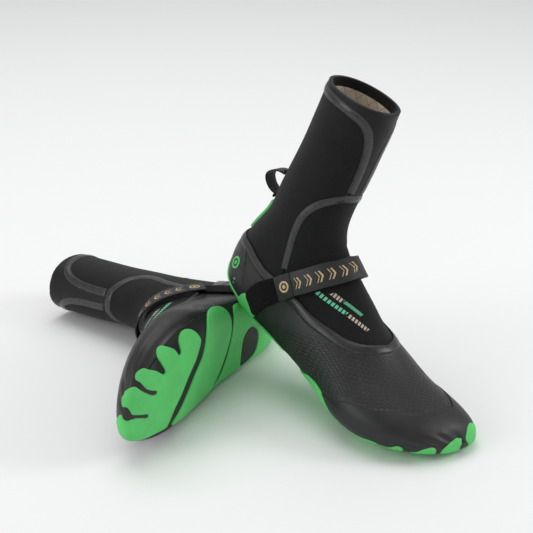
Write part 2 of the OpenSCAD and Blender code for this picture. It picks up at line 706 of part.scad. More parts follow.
left_boot() lining();  // left_lining
left_boot() cuff_seal();  // left_cuff_seal
left_boot() insole();  // left_insole
left_boot() toe_divider();  // left_toe_divider
left_boot() cuff_panel();  // left_cuff_panel
left_boot() shaft_panel();  // left_shaft_panel
left_boot() instep_panel();  // left_instep_panel
left_boot() foot_sock();  // left_foot_sock
left_boot() cuff_tape();  // left_cuff_tape
left_boot() cross_tape();  // left_cross_tape
left_boot() instep_tape();  // left_instep_tape
left_boot() heel_cup();  // left_heel_cup
left_boot() vamp_shell();  // left_vamp_shell
left_boot() toe_rand();  // left_toe_rand
left_boot() rim_band();  // left_rim_band
left_boot() sole_base();  // left_sole_base
left_boot() forefoot_pad();  // left_forefoot_pad
left_boot() midfoot_pad();  // left_midfoot_pad
left_boot() heel_pad();  // left_heel_pad
left_boot() heel_insert();  // left_heel_insert
left_boot() pull_strip();  // left_pull_strip
left_boot() pull_loop();  // left_pull_loop
left_boot() strap_tab();  // left_strap_tab
left_boot() loop_pad();  // left_loop_pad
left_boot() strap_anchor();  // left_strap_anchor
left_boot() strap_root();  // left_strap_root
left_boot() strap();  // left_strap
left_boot() strap_tip();  // left_strap_tip
left_boot() hook_patch();  // left_hook_patch
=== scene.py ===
import math

import bpy
import numpy as np
from mathutils import Matrix, Vector
from mathutils.geometry import delaunay_2d_cdt


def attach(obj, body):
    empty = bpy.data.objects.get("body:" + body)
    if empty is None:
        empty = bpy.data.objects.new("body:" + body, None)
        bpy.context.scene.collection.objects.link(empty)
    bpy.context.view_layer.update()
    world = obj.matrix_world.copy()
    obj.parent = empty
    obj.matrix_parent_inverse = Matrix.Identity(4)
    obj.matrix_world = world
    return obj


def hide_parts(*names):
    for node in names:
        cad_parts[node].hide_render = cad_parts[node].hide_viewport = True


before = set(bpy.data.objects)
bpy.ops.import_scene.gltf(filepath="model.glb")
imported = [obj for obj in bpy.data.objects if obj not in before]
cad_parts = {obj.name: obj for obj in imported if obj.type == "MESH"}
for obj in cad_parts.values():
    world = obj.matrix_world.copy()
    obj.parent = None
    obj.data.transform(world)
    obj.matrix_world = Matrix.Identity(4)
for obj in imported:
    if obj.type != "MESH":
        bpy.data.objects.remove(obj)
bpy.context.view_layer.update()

MM = 0.001

# ---------------------------------------------------------------- the skin, as in part.scad, in millimetres

FORM = np.array([
    [60, 258, -17, 247, 30, 31, 0, 0.50], [65, 222, -13, 212, 30, 31, 0, 0.50],
    [70, 184, -9, 172, 29, 31, 0, 0.50],
    [74, 152, -6, 136, 28, 32, 0, 0.50], [80, 128, -4, 106, 28, 33, 0, 0.50],
    [93, 111, -14, 77, 29, 34, 0, 0.52],
    [110, 102, -22, 46, 32, 36, 0, 0.56], [127, 94, -15, 13, 36, 39, 0, 0.60],
    [143, 86, 20, 2, 39, 40, 0, 0.64],
    [160, 77, 62, 4, 41, 43, -1, 0.66], [178, 69, 104, 7, 44, 47, -1, 0.66],
    [198, 61, 145, 6, 49, 52, 0, 0.64],
    [219, 53, 186, 3, 52, 57, 0, 0.62], [240, 46, 222, 3, 50, 55, 2, 0.60],
    [260, 40, 250, 6, 43, 48, 6, 0.56],
    [275, 33, 270, 10, 33, 36, 10, 0.52], [284, 24, 283, 15, 18, 19, 14, 0.50],
    [287, 20, 287, 19, 2, 2, 15, 0.50]], float)
FOOTPRINT = np.array([-24.8, -47.4, 0.37])
ANKLE = (38.0, 0.0, 95.0)
TOE = (205.0, 0.0, 20.0)
TOE_TIP = 16.8
BOOTS = {
    "right": dict(
        mirrored=False, turn=(-6, 20.2, -49.5), place=(-17.5, -15.5, 78), bend=(-5, 10.5, -5, -1.5, -1),
            lobes=12),
    "left": dict(
        mirrored=True, turn=(84.5, -9, -114.5), place=(11.5, 14, 22), bend=(6, -2, -6, 3, -9), lobes=0),
}
CUFF_SEAM = [(0, 2.45), (15, 2.45), (16, 1.6), (20, 1.05), (31, 0.6), (48, 0.37), (72, 0.28), (96, 0.25),
    (180, 0.25)]
RIM = [(0, 10.1), (13, 10), (31, 9.8), (43, 9.45), (52, 8.9), (61, 8.2), (66, 7.45), (78, 6.65),
    (88, 6.35), (101, 6),
       (118, 5.6), (142, 5.4), (180, 5.35)]
RAND = [(0, 14.05), (20, 13.95), (35, 13.65), (50, 12.95), (60, 12.3), (70, 11.9), (95, 11.65),
    (105, 11.35), (120, 11.05)]
INSTEP_SEAM = [(2.45, 15), (2.6, 32), (2.85, 50), (3.3, 64), (3.8, 70), (4.5, 72), (7.8, 72)]
STRAP_LINE = [(0, 5.78), (30, 6), (60, 6.65), (80, 7.2), (110, 7.9)]
NEOPRENE = 3.5
SHELL_TOP = 1.5
PAD_TOP = 3.4


def smooth(t):
    t = np.clip(t, 0, 1)
    return t * t * (3 - 2 * t)


def table_line(table):
    """A smooth monotone curve through a table of (x, y)."""
    xs, ys = np.array(table, float).T
    d = np.diff(ys) / np.diff(xs)
    m = np.zeros(len(xs))
    m[0], m[-1] = d[0], d[-1]
    for i in range(1, len(xs) - 1):
        m[i] = 0 if d[i - 1] * d[i] <= 0 else 2 * d[i - 1] * d[i] / (d[i - 1] + d[i])

    def at(x):
        x = np.clip(np.asarray(x, float), xs[0], xs[-1])
        i = np.clip(np.searchsorted(xs, x) - 1, 0, len(xs) - 2)
        w = xs[i + 1] - xs[i]
        t = (x - xs[i]) / w
        return ((2 * t**3 - 3 * t**2 + 1) * ys[i] + (t**3 - 2 * t**2 + t) * w * m[i]
                + (3 * t**2 - 2 * t**3) * ys[i + 1] + (t**3 - t**2) * w * m[i + 1])
    return at


def fold(v):
    return np.abs((np.asarray(v, float) + 180) % 360 - 180)


rim_line, smooth_rand, cuff_line, instep_line, strap_line = map(table_line,
    (RIM, RAND, CUFF_SEAM, INSTEP_SEAM, STRAP_LINE))


def rand_line(v):
    wave = 0.10 * np.sin(np.radians((v - 14) * 10)) * smooth((v - 14) / 20) * smooth((112 - v) / 15)
    return smooth_rand(v) + wave


def form_row(u):
    last = len(FORM) - 1
    i = np.clip(np.floor(u).astype(int), 0, last - 1)
    f = (u - i)[..., None]
    b, c = FORM[i], FORM[i + 1]
    a = np.where((i > 0)[..., None], FORM[np.maximum(i - 1, 0)], 2 * b - c)
    d = np.where((i + 2 <= last)[..., None], FORM[np.minimum(i + 2, last)], 2 * c - b)
    return 0.5 * (2 * b + (c - a) * f + (2 * a - 5 * b + 4 * c - d) * f**2 + (3 * b - a - 3 * c + d) * f**3)


def form(u, v):
    u, v = np.broadcast_arrays(np.asarray(u, float), np.asarray(v, float))
    s = form_row(u)
    c, q = np.cos(np.radians(v)), np.sin(np.radians(v))
    back = np.where(u < 8, 2.1 + 0.9 * smooth((u - 3) / 5), 3 - 0.7 * smooth((u - 13) / 3))
    n = np.where(c > 0, 2.1, back)
    reach = (np.abs(c) ** n + np.abs(q) ** n + 1e-12) ** (-1 / n)
    share = s[..., 7] - np.where(c > 0, s[..., 7], 1 - s[..., 7]) * c * reach
    half = np.where(q > 0, s[..., 4], s[..., 5])
    return np.stack([s[..., 0] + (s[..., 2] - s[..., 0]) * share, s[..., 6] + half * q * reach,
                     s[..., 1] + (s[..., 3] - s[..., 1]) * share], -1)


def turning(a):
    x, y, z = np.radians(a)
    rz = np.array([[math.cos(z), -math.sin(z), 0], [math.sin(z), math.cos(z), 0], [0, 0, 1]])
    ry = np.array([[math.cos(y), 0, math.sin(y)], [0, 1, 0], [-math.sin(y), 0, math.cos(y)]])
    rx = np.array([[1, 0, 0], [0, math.cos(x), -math.sin(x)], [0, math.sin(x), math.cos(x)]])
    return rz @ ry @ rx


class Boot:
    def __init__(self, side):
        k = BOOTS[side]
        self.side = side
        self.mirrored = k["mirrored"]
        self.turn = turning(k["turn"])
        self.place = np.array(k["place"], float)
        self.bend = k["bend"]
        self.lobes = k["lobes"]

    def bent(self, u, v):
        p = form(u, v)
        leg = smooth((5.5 - u) / 4)
        a = np.radians(self.bend[1] * smooth((p[..., 0] - 165) / 80))
        dx, dz = p[..., 0] - TOE[0], p[..., 2] - TOE[2]
        p = np.stack([TOE[0] + dx * np.cos(a) - dz * np.sin(a), p[..., 1],
            TOE[2] + dx * np.sin(a) + dz * np.cos(a)], -1)
        a = np.radians(self.bend[0] * leg)
        dx, dz = p[..., 0] - ANKLE[0], p[..., 2] - ANKLE[2]
        p = np.stack([ANKLE[0] + dx * np.cos(a) - dz * np.sin(a), p[..., 1],
            ANKLE[2] + dx * np.sin(a) + dz * np.cos(a)], -1)
        a = np.radians(self.bend[2] * leg)
        dz = p[..., 2] - ANKLE[2]
        p = np.stack([p[..., 0], p[..., 1] * np.cos(a) - dz * np.sin(a),
            ANKLE[2] + p[..., 1] * np.sin(a) + dz * np.cos(a)], -1)
        a = np.radians(self.bend[3] * leg)
        dx = p[..., 0] - ANKLE[0]
        return np.stack([ANKLE[0] + dx * np.cos(a) - p[..., 1] * np.sin(a),
            dx * np.sin(a) + p[..., 1] * np.cos(a), p[..., 2]], -1)

    def placed(self, u, v):
        u, v = np.broadcast_arrays(np.asarray(u, float), np.asarray(v, float))
        p = self.bent(u, v)
        if self.mirrored:
            p = p * np.array([1, -1, 1])
        p = p @ self.turn.T + self.place
        floor = 1.4 + 4.6 * smooth((u - 4.2) / 1.5) - 2.4 * smooth((u - 8.5) / 1.5)
        z = p[..., 2]
        low = floor + 6 * np.exp(np.minimum((z - floor) / 6 - 1, 0))
        p = np.stack([p[..., 0], p[..., 1], np.where(z > floor + 6, z, low)], -1)
        return p - FOOTPRINT

    def normal(self, u, v):
        a = self.placed(u + 0.04, v) - self.placed(u - 0.04, v)
        b = self.placed(u, v + 1.5) - self.placed(u, v - 1.5)
        n = np.cross(a, b)
        n /= np.linalg.norm(n, axis=-1, keepdims=True) + 1e-12
        return -n if self.mirrored else n

    def relief(self, u, v):
        """Dents between the toes and soft creases, shared by every layer."""
        v = (np.asarray(v, float) + 360) % 360
        out = np.zeros(np.broadcast(u, v).shape)
        for v0, u0, u1, depth, wide in ((351, 15.0, 16.5, 1.7, 8), (322, 14.6, 16.0, 1.3, 7),
            (297, 14.2, 15.6, 1.1, 6),
                                        (272, 13.5, 14.9, 0.9, 6)):
            dv = (v - v0 + 180) % 360 - 180
            along = smooth((u - u0) / 1.0) * smooth((u1 + 0.5 - u) / 0.8)
            out = out - depth * along * np.exp(-(dv / wide) ** 2)
        front = np.exp(-(((v + 180) % 360 - 180) / 55) ** 2)
        out = out - 0.9 * front * np.exp(-((u - 4.75) / 0.16) ** 2)
        out = out - 0.6 * front * np.exp(-((u - 5.9) / 0.14) ** 2)
        return out

    def skin(self, u, v, h):
        u, v, h = np.broadcast_arrays(np.asarray(u, float), np.asarray(v, float), np.asarray(h, float))
        w = np.where((h < 0) & (u > 15), 15 + (u - 15) * np.maximum(0.2, 1 + 0.14 * h), u)
        h = h + self.relief(u, v)
        return self.placed(w, v) + h[..., None] * self.normal(w, v)

    def stretched(self, u, v):
        """A place on a sole outline: the outer ends reach further round where the foot presses them out."""
        outer = float(smooth((v - 190) / 36)) if u < 15.3 or v > 240 else 0.0
        ahead = 0.45 * self.lobes / 12 * outer * float(1 - smooth((u - 12.6) / 2.2))
        return u + ahead, v + self.lobes * outer

    def sewn(self, u, v):
        return v + self.bend[4] * smooth((4.6 - u) / 1.4)


def slid(u, v, w):
    """The place that lies w (a tangent vector of the unbent form) away."""
    a = (form(u + 0.04, v) - form(u - 0.04, v)) / 0.08
    b = (form(u, v + 1.5) - form(u, v - 1.5)) / 3
    aa, bb, ab = (a * a).sum(-1), (b * b).sum(-1), (a * b).sum(-1)
    aw, bw = (a * w).sum(-1), (b * w).sum(-1)
    det = aa * bb - ab**2 + 1e-9
    return u + (bb * aw - ab * bw) / det, v + (aa * bw - ab * aw) / det


# Length along the boot at each u, for texture places
_us = np.linspace(0, 17, 171)
_front = np.linalg.norm(np.diff(form(_us, 0.0), axis=0), axis=1)
_back = np.linalg.norm(np.diff(form(_us, 90.0), axis=0), axis=1)
_len = np.concatenate([[0], np.cumsum((_front + _back) / 2)])


def length(u):
    return np.interp(u, _us, _len)


def place_uv(u, v):
    v = (np.asarray(v, float) + 180) % 360 - 180
    return np.stack([np.radians(v) * 45 * MM, length(u) * MM], -1)


# ---------------------------------------------------------------- meshes

def make(name, verts, faces, uv=None, mark=None, angle=42):
    me = bpy.data.meshes.new(name)
    me.from_pydata([tuple(p) for p in np.asarray(verts) * MM], [], faces)
    me.validate()
    if uv is not None:
        layer = me.uv_layers.new(name="place")
        idx = np.zeros(len(me.loops), np.int32)
        me.loops.foreach_get("vertex_index", idx)
        layer.data.foreach_set("uv", np.asarray(uv, np.float32)[idx].ravel())
    if mark is not None:
        att = me.attributes.new("mark", "FLOAT", "POINT")
        att.data.foreach_set("value", np.asarray(mark, np.float32).ravel())
    for p in me.polygons:
        p.use_smooth = True
    me.set_sharp_from_angle(angle=math.radians(angle))
    ob = bpy.data.objects.new(name, me)
    bpy.context.scene.collection.objects.link(ob)
    return ob


def grid_mesh(name, top, bottom, uv, closed=False, capped=False, flip=False, mark=None, angle=42):
    """A closed solid from two (rows, columns, 3) surfaces."""
    n, m = top.shape[:2]
    count = n * m
    faces = []
    cells = m if closed else m - 1
    for i in range(n - 1):
        for j in range(cells):
            a, b, c, d = i * m + j, i * m + (j + 1) % m, (i + 1) * m + (j + 1) % m, (i + 1) * m + j
            faces.append((a, d, c, b))
            faces.append((a + count, b + count, c + count, d + count))

    def wall(x, y):
        faces.append((x, y, y + count, x + count))

    for j in range(cells):
        wall(j, (j + 1) % m)
        if not capped:
            wall((n - 1) * m + (j + 1) % m, (n - 1) * m + j)
    if not closed:
        for i in range(n - 1):
            wall((i + 1) * m, i * m)
            wall(i * m + m - 1, (i + 1) * m + m - 1)
    if capped:
        faces.append(tuple((n - 1) * m + j for j in reversed(range(m))))
        faces.append(tuple(count + (n - 1) * m + j for j in range(m)))
    if flip:
        faces = [tuple(reversed(f)) for f in faces]
    verts = np.concatenate([top.reshape(-1, 3), bottom.reshape(-1, 3)])
    uvs = np.concatenate([uv.reshape(-1, 2)] * 2)
    marks = None if mark is None else np.concatenate([mark.reshape(-1)] * 2)
    return make(name, verts, faces, uvs, marks, angle)


def sheet(boot, name, u, v, low, high, closed=False, capped=False, uv=None, mark=None, angle=42):
    top = boot.skin(u, v, high)
    bottom = boot.skin(u, v, low)
    if uv is None:
        uv = place_uv(u, v)
    return grid_mesh(f"{boot.side}_{name}", top, bottom, uv, closed, capped, not boot.mirrored, mark, angle)


def rows_between(a, b, step, per_unit=20.0):
    """Row parameters from 0 to 1 for columns that run from u=a(v) to u=b(v)."""
    count = int(max(2, np.ceil(np.max(b - a) * per_unit / step)))
    return np.linspace(0, 1, count + 1)


def columns_sheet(boot, name, vs, start, end, low, high, step=2.0, closed=False, capped=False, lip=0.0,
        sew=False):
    """Columns at the angles vs from u=start to u=end. lip rounds the first and last rows."""
    t = rows_between(start, end, step)
    if lip:
        e = lip / (np.max(end - start) * 20.0)
        t = np.unique(np.concatenate([[0, 0.25 * e, 0.6 * e, e], t[(t > e) & (t < 1 - e)],
            [1 - e, 1 - 0.6 * e, 1 - 0.25 * e, 1]]))
    u = start[None, :] + (end - start)[None, :] * t[:, None]
    v = np.broadcast_to(vs[None, :], u.shape)
    h = np.full(u.shape, float(high))
    if lip:
        drop = np.zeros(len(t))
        for k, amount in ((0, 0.9), (1, 0.5), (2, 0.15)):
            drop[k] = amount * lip
            drop[-1 - k] = amount * lip
        if capped:
            drop[len(t) // 2:] = 0
        h = np.maximum(h - drop[:, None], low + 0.05)
    if sew:
        v = boot.sewn(u, v)
    return sheet(boot, name, u, v, low, h, closed, capped)


def ribbon(boot, name, u, v, width, heights, low, sew=True):
    """A strip over the skin along the path (u, v). heights gives (share of width, height) pairs."""
    u, v = np.asarray(u, float), np.asarray(v, float)
    pos = form(u, v)
    along = np.gradient(pos, axis=0)
    around = form(u, v + 1.5) - form(u, v - 1.5)
    down = form(u + 0.04, v) - form(u - 0.04, v)
    nor = np.cross(down, around)
    side = np.cross(nor, along)
    side /= np.linalg.norm(side, axis=-1, keepdims=True) + 1e-12
    arc = np.concatenate([[0], np.cumsum(np.linalg.norm(np.diff(pos, axis=0), axis=1))])
    us, vs, hs, uvs = [], [], [], []
    for s, h in heights:
        a, b = slid(u, v, side * (width * s))
        us.append(a)
        vs.append(b)
        hs.append(np.full(len(u), h))
        uvs.append(np.stack([arc * MM, np.full(len(u), width * s * MM)], -1))
    uu, vv, hh = np.stack(us, 1), np.stack(vs, 1), np.stack(hs, 1)
    ends = np.minimum(np.arange(len(u)), np.arange(len(u))[::-1])[:, None]
    hh = np.where(ends == 0, low + 0.1, hh)
    if sew:
        vv = boot.sewn(uu, vv)
    return sheet(boot, name, uu, vv, low, hh, uv=np.stack(uvs, 1), angle=50)


def curve_through(points, step=1.0, closed=False):
    """Catmull-Rom through points (any dimension), sampled about every step in the points' own units."""
    p = np.asarray(points, float)
    n = len(p)
    out = []
    spans = n if closed else n - 1
    for i in range(spans):
        if closed:
            a, b, c, d = p[(i - 1) % n], p[i], p[(i + 1) % n], p[(i + 2) % n]
        else:
            b, c = p[i], p[i + 1]
            a = p[i - 1] if i else 2 * b - c
            d = p[i + 2] if i + 2 < n else 2 * c - b
        k = max(1, int(np.ceil(np.linalg.norm(c - b) / step)))
        for t in np.arange(k) / k:
            square, cube = 2 * a - 5 * b + 4 * c - d, 3 * b - a - 3 * c + d
            out.append(0.5 * (2 * b + (c - a) * t + square * t**2 + cube * t**3))
    if not closed:
        out.append(p[-1])
    return np.array(out)


class Tip:
    """Flat chart of the toes: distance from the toe tip and the angle round it."""
    total = length(17.0)

    @staticmethod
    def flat(u, v):
        r = Tip.total - length(u)
        a = np.radians(v)
        return np.stack([r * np.cos(a), r * np.sin(a)], -1)

    @staticmethod
    def places(q):
        r = np.hypot(q[..., 0], q[..., 1])
        u = np.interp(Tip.total - r, _len, _us)
        return np.minimum(u, TOE_TIP), np.degrees(np.arctan2(q[..., 1], q[..., 0])) % 360


class Strip:
    """Flat chart of the sole and sides."""
    @staticmethod
    def flat(u, v):
        return np.stack([np.radians(v) * 50, length(u)], -1)

    @staticmethod
    def places(q):
        return np.interp(q[..., 1], _len, _us), np.degrees(q[..., 0] / 50)


def inside(poly, q):
    x, y = q[:, 0][:, None], q[:, 1][:, None]
    x0, y0 = poly[:, 0][None], poly[:, 1][None]
    x1, y1 = np.roll(poly, -1, 0)[:, 0][None], np.roll(poly, -1, 0)[:, 1][None]
    cross = ((y0 > y) != (y1 > y)) & (x < (x1 - x0) * (y - y0) / (y1 - y0 + 1e-12) + x0)
    return cross.sum(1) % 2 == 1


def pad(boot, name, outlines, low, high, chart=Strip, step=2.4, bevel=0.9, hole=None, round_step=1.2):
    """A closed solid over an outline of [u, v] places, with rounded upper edges."""
    loops = []
    for pts in [outlines] + ([hole] if hole else []):
        flat = chart.flat(*np.array(pts, float).T)
        loops.append(curve_through(flat, round_step, closed=True))
    area = lambda q: 0.5 * np.sum(q[:, 0] * np.roll(q[:, 1], -1) - np.roll(q[:, 0], -1) * q[:, 1])
    if area(loops[0]) < 0:
        loops[0] = loops[0][::-1]
    if len(loops) > 1 and area(loops[1]) > 0:
        loops[1] = loops[1][::-1]
    points, edges, border3 = [], [], []
    rings = []
    for loop in loops:
        start = len(points)
        points += list(loop)
        n = len(loop)
        edges += [(start + i, start + (i + 1) % n) for i in range(n)]
        u, v = chart.places(loop)
        p3 = form(u, v)
        border3.append(p3)
        tangent = np.roll(loop, -1, 0) - np.roll(loop, 1, 0)
        inward = np.stack([-tangent[:, 1], tangent[:, 0]], -1)
        inward /= np.linalg.norm(inward, axis=1, keepdims=True) + 1e-12
        # true scale of a small inward step
        q = loop + inward * 0.2
        scale = np.linalg.norm(form(*chart.places(q)) - p3, axis=1, keepdims=True) / 0.2 + 1e-6
        for d in (0.35 * bevel, bevel, 2 * bevel):
            rings.append(loop + inward * d / scale)
    border3 = np.concatenate(border3)
    lo, hi = np.concatenate(loops).min(0), np.concatenate(loops).max(0)
    gx, gy = np.meshgrid(np.arange(lo[0], hi[0], step), np.arange(lo[1], hi[1], step * 0.87))
    gx[1::2] += step / 2
    grid = np.stack([gx.ravel(), gy.ravel()], -1)
    keep_from = 2.6 * bevel
    extras = []
    for cand, least in [(r, None) for r in rings] + [(grid, keep_from)]:
        ok = inside(loops[0], cand)
        if len(loops) > 1:
            ok &= ~inside(loops[1], cand)
        cand = cand[ok]
        if len(cand) == 0:
            continue
        p3 = form(*chart.places(cand))
        dist = np.sqrt(((p3[:, None] - border3[None]) ** 2).sum(-1)).min(1)
        extras.append((cand, dist, least))
    used = []
    for k, (cand, dist, least) in enumerate(extras):
        want = least if least is not None else (0.35, 1.0, 2.0)[k % 3] * bevel * 0.7
        sel = cand[dist > want]
        if len(sel) and k < 6 and least is None:
            # thin ring points that lie too close together
            keep = []
            for q in sel:
                if not keep or min(np.hypot(*(np.array(keep[-4:]) - q).T)) > 0.45 * round_step:
                    keep.append(q)
            sel = np.array(keep)
        if len(sel):
            used.append(sel)
    flat_points = np.concatenate([np.array(points)] + used)
    verts2, _, tris, _, _, _ = delaunay_2d_cdt([Vector(p) for p in flat_points], edges, [], 0, 1e-6)
    q = np.array([tuple(p) for p in verts2])
    centre = np.array([q[list(t)].mean(0) for t in tris])
    ok = inside(loops[0], centre)
    if len(loops) > 1:
        ok &= ~inside(loops[1], centre)
    tris = [tuple(t) for t, k in zip(tris, ok) if k]
    live = sorted({i for t in tris for i in t})
    back = {k: i for i, k in enumerate(live)}
    q = q[live]
    tris = [tuple(back[i] for i in t) for t in tris]
    u, v = chart.places(q)
    p3 = form(u, v)
    dist = np.sqrt(((p3[:, None] - border3[None]) ** 2).sum(-1)).min(1)
    k = np.clip(dist / bevel, 0, 1)
    h = high - bevel * (1 - np.sqrt(np.clip(1 - (1 - k) ** 2, 0, 1))) * 0.85
    h = np.maximum(h, low + 0.1)
    top, bottom = boot.skin(u, v, h), boot.skin(u, v, np.full(len(u), low))
    n = len(q)
    count = {}
    for t in tris:
        for a, b in ((t[0], t[1]), (t[1], t[2]), (t[2], t[0])):
            count[(a, b)] = count.get((a, b), 0) + 1
    faces = list(tris) + [(c + n, b + n, a + n) for a, b, c in tris]
    for (a, b) in count:
        if (b, a) not in count:
            faces.append((b, a, a + n, b + n))
    # which way the flat chart faces
    test = tris[len(tris) // 2]
    a, b, c = top[list(test)]
    nrm = np.cross(b - a, c - a)
    if (nrm * boot.normal(u[test[0]], v[test[0]])).sum() < 0:
        faces = [tuple(reversed(f)) for f in faces]
    if chart is Strip:
        uv = np.concatenate([np.stack([np.radians(v - 180) * 50 * MM, length(u) * MM], -1)] * 2)
    else:
        p = form(u, v)
        uv = np.concatenate([np.stack([p[:, 1] * MM, p[:, 0] * MM], -1)] * 2)
    return make(f"{boot.side}_{name}", np.concatenate([top, bottom]), faces, uv,
        np.concatenate([dist, dist]), 50)


def sweep(name, centre, up, side, profile, flip, arc_uv=None):
    """A closed profile of (across, up) points carried along a path."""
    n, m = len(centre), len(profile)
    prof = np.array(profile, float)
    verts = (centre[:, None] + side[:, None] * prof[None, :, :1] + up[:, None] * prof[None, :,
        1:2]).reshape(-1, 3)
    faces = []
    for i in range(n - 1):
        for k in range(m):
            a, b = i * m + k, i * m + (k + 1) % m
            faces.append((a, b, b + m, a + m))
    faces.append(tuple(reversed(range(m))))
    faces.append(tuple((n - 1) * m + k for k in range(m)))
    if flip:
        faces = [tuple(reversed(f)) for f in faces]
    arc = np.concatenate([[0], np.cumsum(np.linalg.norm(np.diff(centre, axis=0), axis=1))])
    if arc_uv is not None:
        arc = arc_uv
    uv = np.stack([np.repeat(arc, m) * MM, np.tile(prof[:, 0], n) * MM], -1)
    upper = np.tile((prof[:, 1] > prof[:, 1].mean()).astype(float), n)
    return make(name, verts, faces, uv, upper, 40)


def rounded(width, low, high, r):
    """A flat bar's section with rounded corners, counter-clockwise."""
    w = width / 2
    r = min(r, (high - low) / 2 - 0.01)
    pts = []
    for cx, cy, a0 in ((-w + r, low + r, 180), (w - r, low + r, 270), (w - r, high - r, 0),
        (-w + r, high - r, 90)):
        for k in range(4):
            a = math.radians(a0 + 30 * k)
            pts.append((cx + r * math.cos(a), cy + r * math.sin(a)))
    return pts


# ---------------------------------------------------------------- materials

class Nodes:
    def __init__(self, name):
        self.mat = bpy.data.materials.new(name)
        self.mat.use_nodes = True
        self.tree = self.mat.node_tree
        self.bsdf = self.tree.nodes["Principled BSDF"]

    def add(self, kind, **settings):
        node = self.tree.nodes.new(kind)
        for k, val in settings.items():
            setattr(node, k, val)
        return node

    def link(self, a, b):
        self.tree.links.new(a, b)

    def put(self, node, index, x):
        if isinstance(x, (int, float, tuple)):
            node.inputs[index].default_value = x
        else:
            self.link(x, node.inputs[index])

    def math(self, op, a, b=0.0):
        node = self.add("ShaderNodeMath", operation=op)
        for i, x in enumerate((a, b)):
            self.put(node, i, x)
        return node.outputs[0]

    def mix(self, fac, a, b):
        node = self.add("ShaderNodeMix", data_type="RGBA")
        self.put(node, 0, fac)
        self.put(node, 6, a)
        self.put(node, 7, b)
        return node.outputs[2]

    def uv(self, scale, rotate):
        src = self.add("ShaderNodeUVMap", uv_map="place")
        node = self.add("ShaderNodeMapping")
        self.link(src.outputs[0], node.inputs[0])
        node.inputs[2].default_value = (0, 0, rotate)
        node.inputs[3].default_value = (scale, scale, 1)
        return node.outputs[0]

    def xy(self, scale=1.0, rotate=0.0):
        sep = self.add("ShaderNodeSeparateXYZ")
        self.link(self.uv(scale, rotate), sep.inputs[0])
        return sep.outputs[0], sep.outputs[1]

    def noise(self, scale, detail=3.0, rough=0.55):
        coord = self.add("ShaderNodeTexCoord").outputs["Object"]
        node = self.add("ShaderNodeTexNoise")
        self.link(coord, node.inputs["Vector"])
        node.inputs["Scale"].default_value = scale
        node.inputs["Detail"].default_value = detail
        node.inputs["Roughness"].default_value = rough
        return node.outputs["Fac"]

    def scale_to(self, fac, lo, hi, out_lo, out_hi):
        node = self.add("ShaderNodeMapRange", clamp=True)
        self.put(node, 0, fac)
        for i, x in enumerate((lo, hi, out_lo, out_hi)):
            node.inputs[i + 1].default_value = x
        return node.outputs[0]

    def tones(self, fac, lo, hi, base, dark, light):
        """The base color, varied between a darker and a lighter tone of itself."""
        return self.mix(self.scale_to(fac, lo, hi, 0, 1), (*[c * dark for c in base], 1),
            (*[c * light for c in base], 1))

    def bump(self, height, distance, strength=1.0, after=None):
        node = self.add("ShaderNodeBump")
        node.inputs["Strength"].default_value = strength
        node.inputs["Distance"].default_value = distance
        self.link(height, node.inputs["Height"])
        if after is not None:
            self.link(after, node.inputs["Normal"])
        return node.outputs[0]

    def done(self, color=None, rough=None, normal=None, **fixed):
        if color is not None:
            self.put(self.bsdf, "Base Color", color)
        if rough is not None:
            self.put(self.bsdf, "Roughness", rough)
        if normal is not None:
            self.link(normal, self.bsdf.inputs["Normal"])
        for k, val in fixed.items():
            self.bsdf.inputs[k.replace("_", " ")].default_value = val
        return self.mat


def grid_wave(n, size, rotate=0.0):
    """Product of two sine waves, -1 to 1: small raised cells of the given size in metres."""
    x, y = n.xy(1.0, rotate)
    k = math.pi / size
    return n.math("MULTIPLY", n.math("SINE", n.math("MULTIPLY", x, k)),
        n.math("SINE", n.math("MULTIPLY", y, k)))


def knit_material(name, base, sheen=0.35, marks=None):
    """Neoprene with a knitted face."""
    n = Nodes(name)
    weave = grid_wave(n, 0.0006, math.radians(45))
    broad = n.noise(28, 3)
    fine = n.noise(900, 2)
    color = n.tones(broad, 0.35, 0.7, base, 0.75, 1.35)
    if marks is not None:
        color = marks(n, color)
    b1 = n.bump(weave, 0.00012, 0.7)
    b2 = n.bump(fine, 0.00015, 0.5, b1)
    b3 = n.bump(n.noise(16, 2), 0.004, 0.18, b2)
    return n.done(color, n.scale_to(fine, 0.3, 0.7, 0.72, 0.9), b3, Sheen_Weight=sheen, Sheen_Roughness=0.45,
                  Specular_IOR_Level=0.3)


def smooth_skin_material(name, base):
    n = Nodes(name)
    broad = n.noise(22, 4)
    fine = n.noise(650, 3)
    color = n.tones(broad, 0.3, 0.7, base, 0.8, 1.25)
    b = n.bump(fine, 0.0001, 0.4, n.bump(n.noise(20, 2), 0.003, 0.15))
    return n.done(color, n.scale_to(n.noise(60, 3), 0.3, 0.7, 0.42, 0.56), b, Specular_IOR_Level=0.3,
        Sheen_Weight=0.03)


def tape_material(name, base, rough=(0.28, 0.42)):
    n = Nodes(name)
    x, y = n.xy()
    ribs = n.math("SINE", n.math("MULTIPLY", x, math.pi / 0.0007))
    edge = n.scale_to(n.math("ABSOLUTE", y), 0.0022, 0.0034, 0, 1)
    rib = n.math("MULTIPLY", ribs, edge)
    blotch = n.noise(120, 4)
    color = n.tones(blotch, 0.35, 0.7, base, 0.7, 1.3)
    b = n.bump(rib, 0.00025, 0.6, n.bump(n.noise(260, 3), 0.0005, 0.5))
    return n.done(color, n.scale_to(blotch, 0.3, 0.7, rough[0], rough[1]), b, Specular_IOR_Level=0.5,
        Coat_Weight=0.15,
                  Coat_Roughness=0.3)


